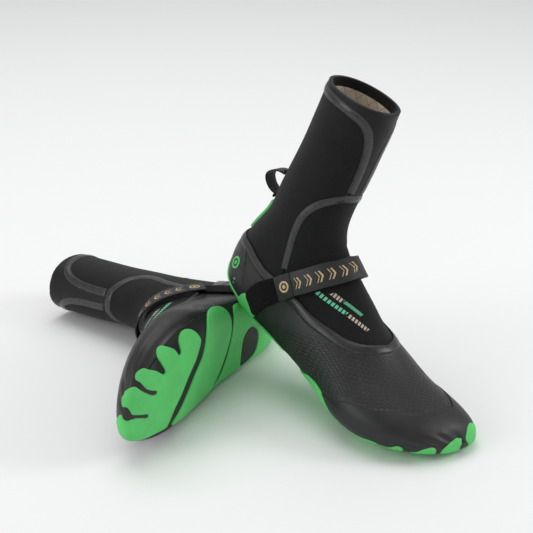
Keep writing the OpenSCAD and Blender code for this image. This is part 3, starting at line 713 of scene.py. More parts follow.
def shell_material(name, base, cell=0.0033, depth=0.0009, textured=True):
    """Moulded rubber: small raised cells that fade into smooth rubber, with a painted highlight on the cells.
    """
    n = Nodes(name)
    blotch = n.noise(45, 4)
    fine = n.noise(1400, 2)
    color = n.tones(blotch, 0.3, 0.75, base, 0.78, 1.25)
    b = n.bump(fine, 0.00008, 0.5, n.bump(n.noise(18, 3), 0.003, 0.25))
    if textured:
        cells = grid_wave(n, cell)
        raised = n.scale_to(cells, -0.15, 0.35, 0, 1)
        att = n.add("ShaderNodeAttribute", attribute_name="mark")
        fade = n.scale_to(att.outputs["Fac"], 0.0, 1.0, 0.0, 1.0)
        height = n.math("MULTIPLY", raised, fade)
        b = n.bump(height, depth, 0.9, b)
        # painted highlight: the raised cells are painted up to half again lighter than the rubber, standing
        # in for light catching their tops
        color = n.mix(n.math("MULTIPLY", height, 0.5), color, (*[c * 2.0 for c in base], 1))
    return n.done(color, n.scale_to(n.noise(90, 3), 0.3, 0.7, 0.38, 0.52), b, Specular_IOR_Level=0.45)


def sole_material(name, base, cell=0.0011):
    n = Nodes(name)
    dots = grid_wave(n, cell, math.radians(45))
    raised = n.scale_to(dots, -0.2, 0.5, 0, 1)
    blotch = n.noise(35, 4)
    grime = n.noise(150, 4)
    c1 = n.tones(blotch, 0.3, 0.7, base, 0.88, 1.1)
    color = n.mix(n.math("MULTIPLY", n.scale_to(grime, 0.58, 0.72, 0, 1), 0.12), c1,
        (*[c * 0.55 for c in base], 1))
    b = n.bump(raised, 0.00016, 0.6, n.bump(n.noise(700, 2), 0.00012, 0.4))
    return n.done(color, n.scale_to(blotch, 0.3, 0.7, 0.5, 0.66), b, Specular_IOR_Level=0.35,
        Subsurface_Weight=0.04)


def fleece_material(name):
    n = Nodes(name)
    x, y = n.xy(1.0)
    size = 0.017
    k = math.pi / size

    def lines(a):
        s = n.math("ABSOLUTE", n.math("SINE", n.math("MULTIPLY", a, k)))
        return n.scale_to(s, 0.05, 0.13, 1, 0)
    wobble = n.math("MULTIPLY", n.math("SUBTRACT", n.noise(160, 2), 0.5), 0.004)
    d1 = lines(n.math("ADD", n.math("ADD", x, y), wobble))
    d2 = lines(n.math("ADD", n.math("SUBTRACT", x, y), wobble))
    line = n.math("MAXIMUM", d1, d2)
    fluff = n.noise(1100, 4, 0.7)
    soft = n.noise(130, 3)
    c = n.mix(n.scale_to(soft, 0.3, 0.7, 0, 1), (0.62, 0.52, 0.39, 1), (0.84, 0.74, 0.60, 1))
    c = n.mix(n.scale_to(fluff, 0.35, 0.6, 0.35, 0), c, (0.36, 0.27, 0.18, 1))
    color = n.mix(n.math("MULTIPLY", line, 0.75), c, (0.22, 0.13, 0.05, 1))
    b = n.bump(fluff, 0.0012, 0.9, n.bump(soft, 0.002, 0.5))
    return n.done(color, 0.95, b, Sheen_Weight=0.5, Sheen_Roughness=0.5, Specular_IOR_Level=0.1)


def webbing_material(name, base, pitch=0.0011):
    n = Nodes(name)
    x, y = n.xy()
    k = math.pi / pitch
    warp = n.math("SINE", n.math("MULTIPLY", y, k))
    weft = n.math("SINE", n.math("ADD", n.math("MULTIPLY", x, k * 0.8),
        n.math("MULTIPLY", n.math("SIGN", warp), 1.57)))
    cloth = n.math("MULTIPLY", n.math("ABSOLUTE", warp), n.scale_to(weft, -1, 1, 0.35, 1))
    fuzz = n.noise(1500, 3)
    # painted shade and highlight: colour follows the weave's height, darker in the gaps between threads and
    # lighter on the thread crowns
    color = n.mix(cloth, (*[c * 0.5 for c in base], 1), (*[c * 1.5 for c in base], 1))
    b = n.bump(cloth, 0.0003, 0.9, n.bump(fuzz, 0.0002, 0.5))
    return n.done(color, 0.85, b, Sheen_Weight=0.3, Specular_IOR_Level=0.25)


def pile_material(name, base):
    n = Nodes(name)
    loops = n.add("ShaderNodeTexVoronoi")
    n.link(n.uv(1, 0), loops.inputs["Vector"])
    loops.inputs["Scale"].default_value = 1300
    fuzz = n.noise(2600, 4, 0.7)
    d = loops.outputs["Distance"]
    color = n.tones(d, 0.1, 0.6, base, 1.8, 0.4)
    color = n.mix(n.scale_to(fuzz, 0.6, 0.8, 0, 0.3), color, (*[c * 3 for c in base], 1))
    b = n.bump(d, 0.0006, 0.9, n.bump(fuzz, 0.0006, 0.8))
    return n.done(color, 0.92, b, Sheen_Weight=0.06, Specular_IOR_Level=0.1)


# Where the strap's chevrons begin and end and where the ring is, in metres from the fold
MARKED = (0.0115, 0.0805, 0.0925)


def strap_material(name, base, marks=True):
    """Rubberised strap with a row of plain gold shapes: chevrons and bars."""
    n = Nodes(name)
    x, y = n.xy()
    blotch = n.noise(90, 3)
    fine = n.noise(1100, 2)
    color = n.tones(blotch, 0.3, 0.7, base, 0.85, 1.18)
    if marks:
        period = 0.0115
        cell = n.math("SUBTRACT", n.math("MODULO", n.math("ADD", x, 1.0), period), period / 2)
        # a chevron: distance from a bent line
        bent = n.math("ADD", cell, n.math("MULTIPLY", n.math("ABSOLUTE", y), -0.55))
        chevron = n.scale_to(n.math("ABSOLUTE", n.math("ADD", bent, 0.0022)), 0.0007, 0.00095, 1, 0)
        bar = n.scale_to(n.math("ABSOLUTE", n.math("SUBTRACT", bent, 0.0012)), 0.0003, 0.0005, 1, 0)
        shape = n.math("MAXIMUM", chevron, bar)
        high = n.scale_to(n.math("ABSOLUTE", y), 0.0052, 0.0055, 1, 0)
        a = n.scale_to(x, MARKED[0], MARKED[0] + 0.0002, 0, 1)
        z = n.scale_to(x, MARKED[1], MARKED[1] + 0.0002, 1, 0)
        mask = n.math("MULTIPLY", n.math("MULTIPLY", shape, high), n.math("MULTIPLY", a, z))
        dx = n.math("SUBTRACT", x, MARKED[2])
        r = n.math("SQRT", n.math("ADD", n.math("MULTIPLY", dx, dx), n.math("MULTIPLY", y, y)))
        ring = n.scale_to(n.math("ABSOLUTE", n.math("SUBTRACT", r, 0.0046)), 0.0008, 0.0010, 1, 0)
        dot = n.scale_to(r, 0.0018, 0.0020, 1, 0)
        mask = n.math("MAXIMUM", mask, n.math("MAXIMUM", ring, dot))
        wear = n.scale_to(n.noise(900, 3), 0.38, 0.48, 0.55, 1)
        upper = n.add("ShaderNodeAttribute", attribute_name="mark").outputs["Fac"]
        color = n.mix(n.math("MULTIPLY", n.math("MULTIPLY", mask, wear), upper), color, (0.62, 0.46, 0.23, 1))
    b = n.bump(fine, 0.00012, 0.5, n.bump(grid_wave(n, 0.0007), 0.00006, 0.5))
    return n.done(color, n.scale_to(blotch, 0.3, 0.7, 0.42, 0.56), b, Specular_IOR_Level=0.45)


def instep_marks(n, color):
    """Plain slanted hatch bars in mint and beige on the instep, lateral of the middle."""
    x, y = n.xy()
    # along runs towards the toe, across runs round the foot
    down = n.math("MULTIPLY", n.math("SUBTRACT", y, MARK_AT[1]), 0.78)
    round_ = n.math("MULTIPLY", n.math("SUBTRACT", x, MARK_AT[0]), 0.78)
    turn = math.radians(27)
    along = n.math("ADD", n.math("MULTIPLY", down, math.cos(turn)),
        n.math("MULTIPLY", round_, math.sin(turn)))
    across = n.math("SUBTRACT", n.math("MULTIPLY", round_, math.cos(turn)),
        n.math("MULTIPLY", down, math.sin(turn)))

    def bars(centre, half, start, end, pitch, duty, slant):
        a = n.math("ADD", along, n.math("MULTIPLY", across, slant))
        m = n.math("MODULO", n.math("ADD", a, 1.0), pitch)
        on = n.scale_to(n.math("ABSOLUTE", n.math("SUBTRACT", m, pitch / 2)), pitch * duty / 2,
            pitch * duty / 2 + 0.00015, 1, 0)
        row = n.scale_to(n.math("ABSOLUTE", n.math("SUBTRACT", across, centre)), half, half + 0.0002, 1, 0)
        lo = n.scale_to(along, start, start + 0.0002, 0, 1)
        hi = n.scale_to(along, end, end + 0.0002, 1, 0)
        return n.math("MULTIPLY", n.math("MULTIPLY", on, row), n.math("MULTIPLY", lo, hi))
    green = n.math("MAXIMUM", bars(-0.0052, 0.0015, -0.017, 0.006, 0.0028, 0.62, 0.5),
                   bars(0.0018, 0.0013, -0.0035, 0.013, 0.0011, 0.5, 4.0))
    beige = n.math("MAXIMUM", bars(0.0012, 0.0017, -0.013, -0.0045, 0.0024, 0.6, 0.5),
        bars(-0.0052, 0.0015, 0.0075, 0.027, 0.0030, 0.6, 0.5))
    color = n.mix(green, color, (0.16, 0.62, 0.36, 1))
    return n.mix(beige, color, (0.55, 0.46, 0.36, 1))


MARK_AT = (-0.0205, 0.001 * float(length(7.7)))


def plain_rubber(name, base, rough=(0.5, 0.65), ribs=None):
    n = Nodes(name)
    blotch = n.noise(80, 4)
    fine = n.noise(900, 3)
    color = n.tones(blotch, 0.3, 0.7, base, 0.75, 1.35)
    b = n.bump(fine, 0.00015, 0.5)
    if ribs:
        x, y = n.xy()
        wave = n.math("SINE", n.math("MULTIPLY", n.math("ADD", x, n.math("MULTIPLY", y, 0.5)),
            math.pi / ribs))
        b = n.bump(n.scale_to(wave, -0.3, 0.4, 0, 1), 0.0006, 0.9, b)
    return n.done(color, n.scale_to(blotch, 0.3, 0.7, rough[0], rough[1]), b, Specular_IOR_Level=0.4)


BLACK = (0.0035, 0.0035, 0.0040)
MAT = {
    "knit": knit_material("knit_neoprene", BLACK, 0.08),
    "instep": knit_material("instep_neoprene", BLACK, 0.08, instep_marks),
    "smooth": smooth_skin_material("smooth_neoprene", (0.0020, 0.0020, 0.0034)),
    "seal": smooth_skin_material("seal_rubber", (0.003, 0.003, 0.003)),
    "tape": tape_material("seam_tape", (0.018, 0.018, 0.0185), (0.22, 0.36)),
    "rim": tape_material("rim_rubber", (0.008, 0.008, 0.0083), (0.28, 0.42)),
    "vamp": shell_material("vamp_rubber", (0.013, 0.013, 0.0135)),
    "cup": shell_material("cup_rubber", (0.011, 0.011, 0.0113), textured=False),
    "rand": shell_material("rand_rubber", (0.012, 0.012, 0.0125), textured=False),
    "green": sole_material("green_rubber", (0.105, 0.60, 0.150)),
    "black_sole": plain_rubber("black_sole_rubber", (0.007, 0.007, 0.007)),
    "insert": plain_rubber("insert_rubber", (0.012, 0.012, 0.012), ribs=0.0022),
    "fleece": fleece_material("fleece"),
    "insole": webbing_material("insole_cloth", (0.10, 0.10, 0.10)),
    "webbing": webbing_material("webbing", (0.006, 0.006, 0.006)),
    "pile": pile_material("loop_pile", (0.0022, 0.0022, 0.0022)),
    "strap": strap_material("strap_rubber", (0.013, 0.013, 0.0133)),
    "strap_plain": strap_material("strap_rubber_plain", (0.010, 0.010, 0.0102), False),
    "tip": strap_material("tip_rubber", (0.009, 0.009, 0.009)),
    "hook": pile_material("hook_film", (0.004, 0.004, 0.004)),
}


def finish_piece(ob, body, mat, slot, *nodes):
    ob.data.materials.clear()
    ob.data.materials.append(MAT[mat])
    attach(ob, body)
    if nodes:
        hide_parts(*nodes)
    return ob


# ---------------------------------------------------------------- outlines of the sole pieces
# [u, v] places; v above 180 is the outer side

FOREFOOT = [
    (13.25, 134), (13.9, 129), (14.4, 120), (14.8, 104), (15.0, 80), (15.05, 47), (15.25, 30), (15.8, 16),
    (16.3, 12),
    (16.8, 60), (16.6, 140), (16.35, 158), (15.85, 166.5), (15.35, 164), (14.95, 161.5), (14.85, 164),
    (14.98, 167.5), (15.4, 170.5), (15.85, 175),
    (16.3, 181), (16.55, 200), (16.75, 280), (16.3, 340), (15.9, 345), (15.75, 325), (15.8, 262),
    (15.55, 222), (15.15, 203), (14.75, 193), (14.48, 190.5), (14.5, 194.5),
    (14.8, 200), (15.2, 212), (15.45, 235), (15.5, 262), (15.3, 266), (15.05, 250), (14.85, 233),
    (14.5, 219), (14.15, 208),
    (14.02, 206.5), (14.0, 210), (14.2, 222), (14.3, 236), (14.15, 245), (13.95, 243), (13.75, 233),
    (13.45, 222), (13.22, 212),
    (13.1, 213.5), (13.15, 220), (13.15, 227), (12.95, 233), (12.65, 231.5), (12.35, 225), (12.08, 216),
    (12.0, 209),
    (12.2, 196), (12.5, 184), (12.8, 168), (13.12, 153), (13.2, 140)]
MIDFOOT = [
    (12.82, 133), (12.65, 147), (12.4, 162), (12.1, 179), (11.8, 192), (11.68, 203), (11.6, 214),
    (11.45, 225), (11.2, 235),
    (10.9, 241), (10.55, 243), (10.25, 238), (10.12, 226), (10.12, 205), (10.28, 180), (10.48, 159),
    (10.68, 143), (10.82, 131),
    (11.5, 127), (12.3, 128)]
HEEL = [
    (10.6, 131), (10.35, 148), (10.15, 173), (10.02, 200), (9.95, 212), (9.8, 226), (9.55, 235),
    (9.0, 237), (8.5, 231), (8.0, 228),
    (7.6, 231), (7.2, 227), (6.8, 217), (6.45, 206), (6.2, 196), (6.0, 186), (5.95, 176), (6.1, 166),
    (6.4, 155), (6.8, 146), (7.3, 138),
    (7.9, 133), (8.35, 133), (8.7, 137), (8.95, 136), (9.15, 129), (9.9, 126)]
INSERT = [(8.95, 197), (8.72, 188), (8.65, 170), (8.7, 155), (8.95, 146), (9.15, 144), (9.3, 150),
    (9.42, 167), (9.42, 187), (9.2, 198)]
TAB = [(7.42, 250), (7.9, 246), (8.3, 240), (8.34, 234), (8.2, 228), (7.95, 226), (7.72, 228), (7.55, 238)]
LOOP = [(7.40, 252), (6.98, 266), (6.62, 280), (6.5, 288), (7.0, 290), (7.42, 287), (7.72, 277),
    (8.0, 262), (8.24, 243), (7.85, 247)]


# Where the two heels meet, measured on this model, and how far each pad is pressed in, in millimetres
HEEL_CONTACT = np.array([1.6, 3.7, 76.2])
HEEL_PRESS = 0.6
HEEL_PRESS_REACH = 11
HEEL_PAD_TOP = PAD_TOP - 0.6
HEEL_INSERT_TOP = PAD_TOP - 0.95

RIM_WIDTH = 10
# Height of the fold lines above the strap's underside, and the radius of the rolls that lie along them
FOLD_HEIGHT = 2.1
FOLD_RADIUS = 0.34


def disc(u, v, radius, count=14):
    """A round outline on the skin, radius in millimetres."""
    out = []
    for k in range(count):
        a = 2 * math.pi * k / count
        around = form(u, v + 1.5) - form(u, v - 1.5)
        down = form(u + 0.04, v) - form(u - 0.04, v)
        around /= np.linalg.norm(around)
        down /= np.linalg.norm(down)
        out.append(tuple(float(x) for x in slid(np.float64(u), np.float64(v),
            radius * (math.cos(a) * around + math.sin(a) * down))))
    return out


TAPE_SECTION = [(-0.5, 0.12), (-0.47, 0.42), (-0.42, 0.62), (-0.33, 0.66), (-0.24, 0.78), (-0.12, 0.96),
    (0, 1.02),
                (0.12, 0.96), (0.24, 0.78), (0.33, 0.66), (0.42, 0.62), (0.47, 0.42), (0.5, 0.12)]


def strap_u(v):
    return strap_line(np.abs(v))


def strap_h(v):
    bow = 1.5 * smooth(1 - np.abs(v - 8) / 40)
    return bow + np.where(v > 0, 4.2 + (4.1 - 4.2) * smooth((v - 30) / 40),
        4.2 + (5.45 - 4.2) * smooth(-v / 50))


def strap_frame(boot, vs):
    u, h = strap_u(vs), strap_h(vs)
    centre = boot.placed(u, vs) + h[:, None] * boot.normal(u, vs)
    up = boot.normal(u, vs)
    side = np.cross(up, np.gradient(centre, axis=0))
    side /= np.linalg.norm(side, axis=1, keepdims=True)
    if boot.mirrored:
        side = -side
    return centre, up, side


def build(boot):
    side = boot.side
    main = f"{side}_boot"
    full = np.arange(-180, 180, 3.0)

    def ride(ob, mat, slot, *nodes):
        finish_piece(ob, main, mat, slot, *(f"{side}_{node}" for node in nodes))

    # --- leg panels
    vs = np.concatenate([np.arange(-180, -60, 3.0), np.arange(-60, 60, 1.5), np.arange(60, 180, 3.0)])
    ends = cuff_line(fold(vs)) - 0.01
    ob = columns_sheet(boot, "cuff_panel", vs, np.zeros(len(vs)), ends, -NEOPRENE, 0.0, 2.0, closed=True,
        lip=1.3, sew=True)
    ride(ob, "smooth", "smooth_neoprene", "cuff_panel")

    us = np.concatenate([np.linspace(0.26, 2.4, 60), np.linspace(2.45, 7.8, 120)])
    knots_v, knots_u = np.linspace(15, 180, 400), cuff_line(np.linspace(15, 180, 400))
    from_v = np.where(us < 2.43, np.interp(us, knots_u[::-1], knots_v[::-1]), instep_line(us)) + 0.6
    t = np.linspace(0, 1, 91)
    vv = from_v[:, None] + (360 - 2 * from_v)[:, None] * t[None]
    uu = np.broadcast_to(us[:, None], vv.shape)
    ob = sheet(boot, "shaft_panel", uu, boot.sewn(uu, vv), -NEOPRENE, 0.0)
    ride(ob, "knit", "jersey_neoprene", "shaft_panel")

    us = np.linspace(2.48, 7.8, 110)
    half = instep_line(us) - 0.4
    front_v = np.linspace(69, 0.5, 60)
    uu = np.concatenate([us, rim_line(front_v) + 0.5])
    hh = np.concatenate([half, front_v])
    keep = np.concatenate([[True], np.diff(np.maximum.accumulate(uu)) > 1e-4])
    uu, hh = uu[keep], hh[keep]
    t = np.linspace(-1, 1, 61)
    vv = hh[:, None] * t[None]
    uu = np.broadcast_to(uu[:, None], vv.shape)
    ob = sheet(boot, "instep_panel", uu, boot.sewn(uu, vv), -NEOPRENE, 0.0)
    ride(ob, "instep", "jersey_neoprene", "instep_panel")

    starts = np.where(fold(full) < 70, rim_line(fold(full)) + 0.55, 7.85)
    ob = columns_sheet(boot, "foot_sock", full, starts, np.full(len(full), TOE_TIP), -NEOPRENE, 0.0, 3.0,
        closed=True, capped=True)
    ride(ob, "knit", "jersey_neoprene", "foot_sock")

    # --- inside
    ob = columns_sheet(boot, "lining", full, np.full(len(full), 0.27), np.full(len(full), 15.4), -5.0,
        -3.6, 3.0, closed=True, capped=True)
    ride(ob, "fleece", "fleece", "lining")
    ob = columns_sheet(boot, "cuff_seal", full, np.full(len(full), 0.03), np.full(len(full), 0.26), -4.4,
        -3.52, 1.5, closed=True)
    ride(ob, "seal", "smooth_seal", "cuff_seal")
    vs = np.linspace(146, 214, 24)
    ob = columns_sheet(boot, "insole", vs, np.full(24, 8.4), np.full(24, 14.1), -7.8, -6.3, 3.0)
    ride(ob, "insole", "foam_insole", "insole")
    vs = np.linspace(24, 27, 4)
    ob = columns_sheet(boot, "toe_divider", vs, np.full(4, 14.3), np.full(4, 15.0), -14, -6.5, 2.0)
    ride(ob, "knit", "jersey_neoprene", "toe_divider")

    # --- seam tapes
    seam_v = np.linspace(15, 180, 500)
    seam = np.stack([cuff_line(seam_v), seam_v], -1)
    seam = np.concatenate([[[2.3, 15.0]], seam[seam[:, 0] < 2.2]])
    seam3 = form(seam[:, 0], seam[:, 1])
    arc = np.concatenate([[0], np.cumsum(np.linalg.norm(np.diff(seam3, axis=0), axis=1))])
    even = np.linspace(0, arc[-1], 150)
    su, sv = np.interp(even, arc, seam[:, 0]), np.interp(even, arc, seam[:, 1])
    kernel = np.ones(9) / 9
    su[5:-5] = np.convolve(su, kernel, "same")[5:-5]
    sv[5:-5] = np.convolve(sv, kernel, "same")[5:-5]
    pu = np.concatenate([su, su[::-1][1:]])
    pv = np.concatenate([sv, 360 - sv[::-1][1:]])
    ob = ribbon(boot, "cuff_tape", pu, pv, 8.5, TAPE_SECTION, 0.02)
    ride(ob, "tape", "seam_rubber", "cuff_tape")
    cv = np.linspace(-21, 21, 40)
    ob = ribbon(boot, "cross_tape", np.full(40, 2.48), cv, 8.0, [(s, h * 0.9) for s, h in TAPE_SECTION], 0.02)
    ride(ob, "tape", "seam_rubber", "cross_tape")
    iu = np.concatenate([np.linspace(2.46, 2.8, 30), np.linspace(2.83, 6.15, 100)])
    iv = instep_line(iu)
    keep = iv > 16
    iu, iv = iu[keep], iv[keep]
    p = form(iu, iv)
    arc = np.concatenate([[0], np.cumsum(np.linalg.norm(np.diff(p, axis=0), axis=1))])
    even = np.linspace(0, arc[-1], 110)
    iu, iv = np.interp(even, arc, iu), np.interp(even, arc, iv)
    iu[4:-4] = np.convolve(iu, np.ones(7) / 7, "same")[4:-4]
    iv[4:-4] = np.convolve(iv, np.ones(7) / 7, "same")[4:-4]
    for sign, tag in ((-1, "outer"), (1, "inner")):
        ob = ribbon(boot, f"instep_tape_{tag}", iu[::sign], sign * iv[::sign], 7.6,
            [(s, h * 0.98) for s, h in TAPE_SECTION], 0.02)
        ride(ob, "tape", "seam_rubber", "instep_tape")

    # --- rubber shell
    cup_end = lambda v: 8.3 - 1.9 * (1 - smooth((fold(v) - 86) / 24))
    vs = np.linspace(88, 272, 93)
    ob = columns_sheet(boot, "heel_cup", vs, rim_line(fold(vs)) + 0.02, cup_end(vs), 0.25,
        SHELL_TOP + 0.1, 2.0, lip=0.5)
    ride(ob, "cup", "shell_rubber", "heel_cup")
    vs = np.linspace(-122, 122, 165)
    a = np.where(fold(vs) < 89, rim_line(fold(vs)) + 0.02,
        np.maximum(cup_end(vs) - 0.05, rim_line(fold(vs)) + 0.02))
    b = rand_line(fold(vs)) + 0.04
    tt = np.linspace(0, 1, 60)
    uu = a[None] + (b - a)[None] * tt[:, None]
    vv = np.broadcast_to(vs[None], uu.shape)
    fade = smooth((uu - 8.6) / 1.6) * smooth((rand_line(fold(vv)) - uu - 0.1) / 0.35)
    fade = fade * smooth((uu - rim_line(fold(vv)) - 0.35) / 0.3) * smooth((118 - fold(vv)) / 8)
    ob = sheet(boot, "vamp_shell", uu, vv, 0.25, SHELL_TOP, mark=fade)
    ride(ob, "vamp", "shell_rubber", "vamp_shell")
    start = np.where(fold(full) <= 121, rand_line(fold(full)), 11.05 + 3.4 * smooth((fold(full) - 121) / 6))
    ob = columns_sheet(boot, "toe_rand", full, start, np.full(len(full), TOE_TIP), 0.2, SHELL_TOP + 1.1,
        2.0, closed=True, capped=True, lip=1.0)
    ride(ob, "rand", "rand_rubber", "toe_rand")
    rv = np.concatenate([np.linspace(0, 360, 241)[:-1]])
    ru = rim_line(fold(rv)) + 0.14
    pos = form(np.append(ru, ru[0]), np.append(rv, 360.0))
    along = (np.roll(form(ru, rv), -1, 0) - np.roll(form(ru, rv), 1, 0))
    nor = np.cross(form(ru + 0.04, rv) - form(ru - 0.04, rv), form(ru, rv + 1.5) - form(ru, rv - 1.5))
    sd = np.cross(nor, along)
    sd /= np.linalg.norm(sd, axis=1, keepdims=True)
    arc = np.concatenate([[0], np.cumsum(np.linalg.norm(np.diff(pos, axis=0), axis=1))])[:-1]
    us_, vs_, hs_, uv_ = [], [], [], []
    for s, h in [(-0.5, 0.3), (-0.47, 1.6), (-0.40, 2.1), (-0.2, 2.35), (0, 2.4), (0.2, 2.3), (0.35, 2.0),
        (0.45, 1.75), (0.5, 1.55)]:
        a, b = slid(ru, rv, sd * RIM_WIDTH * s)
        us_.append(a)
        vs_.append(b)
        hs_.append(np.full(len(ru), h))
        uv_.append(np.stack([arc * MM, np.full(len(ru), RIM_WIDTH * s * MM)], -1))
    uu, vv, hh = np.stack(us_), np.stack(vs_), np.stack(hs_)
    low_h = np.where(np.arange(len(hh))[:, None] < 4, 0.05, 1.35) + 0 * hh
    order = slice(None) if uu[0].mean() < uu[-1].mean() else slice(None, None, -1)
    ob = sheet(boot, "rim_band", uu[order], vv[order], low_h[order], hh[order], closed=True,
        uv=np.stack(uv_)[order], angle=60)
    ride(ob, "rim", "seam_rubber", "rim_band")

    # --- sole
    vs = np.linspace(118, 242, 48)
    ob = columns_sheet(boot, "sole_base", vs, np.full(48, 8.2), np.full(48, 15.2) , 0.25,
        SHELL_TOP + 0.18, 3.0)
    ride(ob, "black_sole", "sole_black", "sole_base")
    ob = pad(boot, "forefoot_pad", [boot.stretched(u, v) for u, v in FOREFOOT], 1.5, PAD_TOP, Tip, 2.6, 0.9)
    ride(ob, "green", "sole_green", "forefoot_pad")
    ob = pad(boot, "midfoot_pad", [boot.stretched(u, v) for u, v in MIDFOOT], 1.5, PAD_TOP, Strip, 2.8, 0.9)
    ride(ob, "green", "sole_green", "midfoot_pad")
    ob = pad(boot, "heel_pad", HEEL, 1.5, HEEL_PAD_TOP, Strip, 2.8, 0.9, hole=INSERT)
    # the two heels rest on each other here, so both pads are pressed in a little
    near_u, near_v = (g.ravel() for g in np.meshgrid(np.linspace(6, 10, 60), np.linspace(130, 236, 60)))
    closest = np.argmin(np.linalg.norm(boot.skin(near_u, near_v, 2.8) - HEEL_CONTACT, axis=1))
    inward = -boot.normal(near_u[closest], near_v[closest])
    for vert in ob.data.vertices:
        far = np.linalg.norm(np.array(vert.co) / MM - HEEL_CONTACT)
        vert.co += Vector(inward * (HEEL_PRESS * math.exp(-(far / HEEL_PRESS_REACH) ** 2) * MM))
    ride(ob, "green", "sole_green", "heel_pad")
    small = [(9.05 + (u - 9.05) * 0.93, 171 + (v - 171) * 0.96) for u, v in INSERT]
    ob = pad(boot, "heel_insert", small, 1.5, HEEL_INSERT_TOP, Strip, 1.6, 0.4)
    ride(ob, "insert", "sole_black", "heel_insert")

    ob = pad(boot, "heel_ring", disc(6.42, 235, 7.0, 20), 1.3, 2.1, Strip, 1.0, 0.25,
        hole=disc(6.42, 235, 4.6, 20), round_step=0.8)
    ride(ob, "green", "sole_green")
    for i, (u, v, radius) in enumerate(((6.42, 235, 2.4), (6.95, 238, 1.1), (7.1, 235, 0.8))):
        ob = pad(boot, f"heel_dot_{i + 1}", disc(u, v, radius), 1.3, 2.0, Strip, 0.7, 0.2, round_step=0.6)
        ride(ob, "green", "sole_green")

    seam_v, seam_u = [240, 243, 247.5, 250.5, 250, 247.5], [5.75, 5.95, 6.3, 6.72, 7.0, 7.2]
    t = np.linspace(0, 5, 50)
    ob = ribbon(boot, "heel_seam", np.interp(t, range(6), seam_u), np.interp(t, range(6), seam_v), 2.6,
                [(-0.5, 1.5), (-0.25, 2.3), (0, 2.7), (0.25, 2.3), (0.5, 1.5)], 1.2, sew=False)
    ride(ob, "tape", "seam_rubber")

    # --- heel pull
    us = np.linspace(3.85, 5.2, 40)
    t = np.linspace(-1, 1, 31)
    vv = 180 + 27 * t[None] + 0 * us[:, None]
    uu = np.broadcast_to(us[:, None], vv.shape)
    edge_d = np.minimum((1 - np.abs(t))[None] * 14, np.minimum(us - 3.85, 5.2 - us)[:, None] * 30)
    hh = 0.15 + 2.15 * np.sqrt(np.clip(1 - (1 - np.clip(edge_d / 1.2, 0, 1)) ** 2, 0, 1))
    ob = sheet(boot, "pull_strip", uu, vv, 0.02, hh)
    ride(ob, "green", "sole_green", "pull_strip")
    top, low = boot.skin(2.95, 190.0, 0.9), boot.skin(3.6, 190.0, 1.6)
    out = boot.normal(3.275, 190.0)
    up = (top - low) / np.linalg.norm(top - low)
    out = out - up * (out @ up)
    out /= np.linalg.norm(out)
    across = np.cross(up, out)
    reach = np.linalg.norm(top - low) / 2
    mid = (top + low) / 2
    ang = np.linspace(-90, 90, 41)
    sa, ca = np.sin(np.radians(ang)), np.cos(np.radians(ang))
    line = np.stack([reach * (0.75 * sa + 0.25 * sa**3), 17 * np.abs(ca) ** 0.8], -1)
    line = np.concatenate([[[-reach - 5, 0.0], [-reach - 2, 0.0]], line,
        [[reach + 2, 0.0], [reach + 5, 0.0]]])
    d = np.gradient(line, axis=0)
    nrm = np.stack([-d[:, 1], d[:, 0]], -1)
    nrm /= np.linalg.norm(nrm, axis=1, keepdims=True)
    centre = mid + up * line[:, :1] + out * line[:, 1:]
    ups = up * nrm[:, :1] + out * nrm[:, 1:]
    sides = np.broadcast_to(across, centre.shape)
    ob = sweep(f"{side}_pull_loop", centre, ups, sides, rounded(16, 0, 1.5, 0.6), True)
    ride(ob, "webbing", "webbing", "pull_loop")

    # --- strap
    ob = pad(boot, "strap_tab", TAB, 1.4, 3.9, Strip, 1.8, 0.8)
    ride(ob, "green", "sole_green", "strap_tab")
    ob = pad(boot, "loop_pad", LOOP, 1.6, 4.0, Strip, 1.8, 0.9)
    ride(ob, "pile", "loop_pile", "loop_pad")
    av = np.linspace(112, 80, 24)
    au = np.interp(av, [80, 88, 96, 104, 112], [7.2, 7.4, 7.6, 7.8, 7.95])
    ob = ribbon(boot, "strap_anchor", au, av, 24,
        [(-0.5, 2.9), (-0.47, 3.5), (-0.4, 3.75), (0, 3.78), (0.4, 3.75), (0.47, 3.5), (0.5, 2.9)], 1.6,
        sew=False)
    ride(ob, "strap_plain", "strap_rubber", "strap_anchor")

    def strap_piece(name, v0, v1, width, low, high, body, mat, slot, node, count):
        vs = np.linspace(v0, v1, count)
        centre, up, sd = strap_frame(boot, vs)
        full_v = np.linspace(25, -84, 200)
        arc_c, _, _ = strap_frame(boot, full_v)
        arcs = np.concatenate([[0], np.cumsum(np.linalg.norm(np.diff(arc_c, axis=0), axis=1))])
        arc_uv = np.interp(-vs, -full_v, arcs)
        ob = sweep(f"{side}_{name}", centre, up, sd, rounded(width, low, high, 0.55), boot.mirrored,
            arc_uv=arc_uv)
        finish_piece(ob, body, mat, slot, node)
        return ob
    def fold_roll(name, v, body, mat):
        centre, up, across = (a[1] for a in strap_frame(boot, np.array([v - 0.5, v, v + 0.5])))
        line = centre + FOLD_HEIGHT * up + np.linspace(-11.2, 11.2, 12)[:, None] * across
        along = np.broadcast_to(np.cross(up, across), line.shape)
        circle = [(FOLD_RADIUS * math.cos(a), FOLD_RADIUS * math.sin(a)) for a in np.linspace(0,
            2 * math.pi, 17)[:-1]]
        ob = sweep(f"{side}_{name}", line, np.broadcast_to(up, line.shape), along, circle, False)
        finish_piece(ob, body, mat, "strap_rubber")
    fold_roll("strap_fold", 25.0, f"{side}_strap", "strap_plain")
    fold_roll("tip_fold", -62.0, f"{side}_tip", "strap_plain")
    strap_piece("strap_root", 106, 25.5, 23, 0, 1.8, main, "strap_plain", "strap_rubber",
        f"{side}_strap_root", 70)
    strap_piece("strap", 24.5, -61.6, 23, 0, 1.8, f"{side}_strap", "strap", "strap_rubber",
        f"{side}_strap", 80)
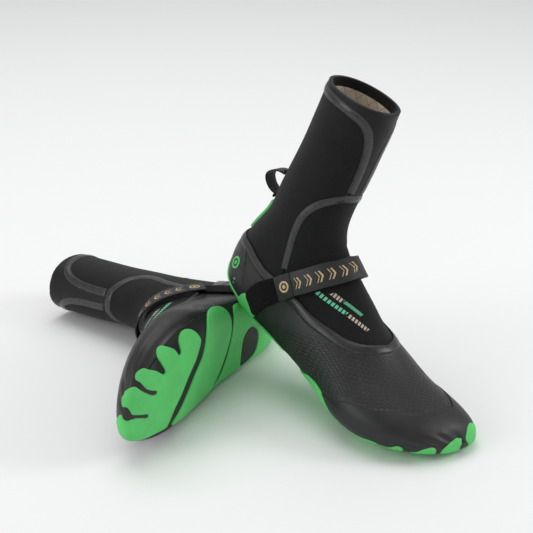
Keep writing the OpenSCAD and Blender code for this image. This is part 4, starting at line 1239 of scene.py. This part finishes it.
    strap_piece("strap_tip", -62.4, -73, 24, 0, 1.8, f"{side}_tip", "tip", "strap_rubber",
        f"{side}_strap_tip", 16)
    strap_piece("hook_patch", -64, -72, 21, -1, -0.2, f"{side}_tip", "hook", "hook_film",
        f"{side}_hook_patch", 12)


for which in ("right", "left"):
    build(Boot(which))

# ---------------------------------------------------------------- floor, light and camera

floor_mesh = bpy.data.meshes.new("floor")
floor_mesh.from_pydata([(-6, -4, 0), (6, -4, 0), (6, 9, 0), (-6, 9, 0)], [], [(0, 1, 2, 3)])
floor = bpy.data.objects.new("floor", floor_mesh)
bpy.context.scene.collection.objects.link(floor)
n = Nodes("floor_paper")
n.done((0.92, 0.92, 0.92, 1), 0.75, None, Specular_IOR_Level=0.2)
floor_mesh.materials.append(n.mat)


def area_light(name, place, aim, size, power, size_y=None):
    data = bpy.data.lights.new(name, "AREA")
    data.energy = power
    data.size = size
    if size_y:
        data.shape = "RECTANGLE"
        data.size_y = size_y
    ob = bpy.data.objects.new(name, data)
    bpy.context.scene.collection.objects.link(ob)
    ob.location = place
    ob.rotation_euler = (Vector(aim) - Vector(place)).to_track_quat("-Z", "Y").to_euler()
    return ob


area_light("top", (-0.3, 0.7, 2.2), (0, 0.1, 0.1), 2.0, 22)
area_light("left_side", (-1.7, -0.9, 0.9), (0, 0, 0.1), 1.0, 9)
area_light("right_side", (1.7, -0.1, 1.0), (0, 0, 0.15), 0.7, 9)
world = bpy.data.worlds.new("studio")
world.use_nodes = True
world.node_tree.nodes["Background"].inputs[0].default_value = (0.93, 0.94, 0.95, 1)
world.node_tree.nodes["Background"].inputs[1].default_value = 0.56
bpy.context.scene.world = world

camera_data = bpy.data.cameras.new("camera")
camera_data.lens = 91.7
camera_data.sensor_width = 36
camera = bpy.data.objects.new("camera", camera_data)
bpy.context.scene.collection.objects.link(camera)
camera.location = (0.0248, -1.24965, 0.6234)
camera.rotation_euler = (math.radians(67.89), 0, 0)
bpy.context.scene.camera = camera
bpy.context.scene.view_settings.view_transform = "Standard"
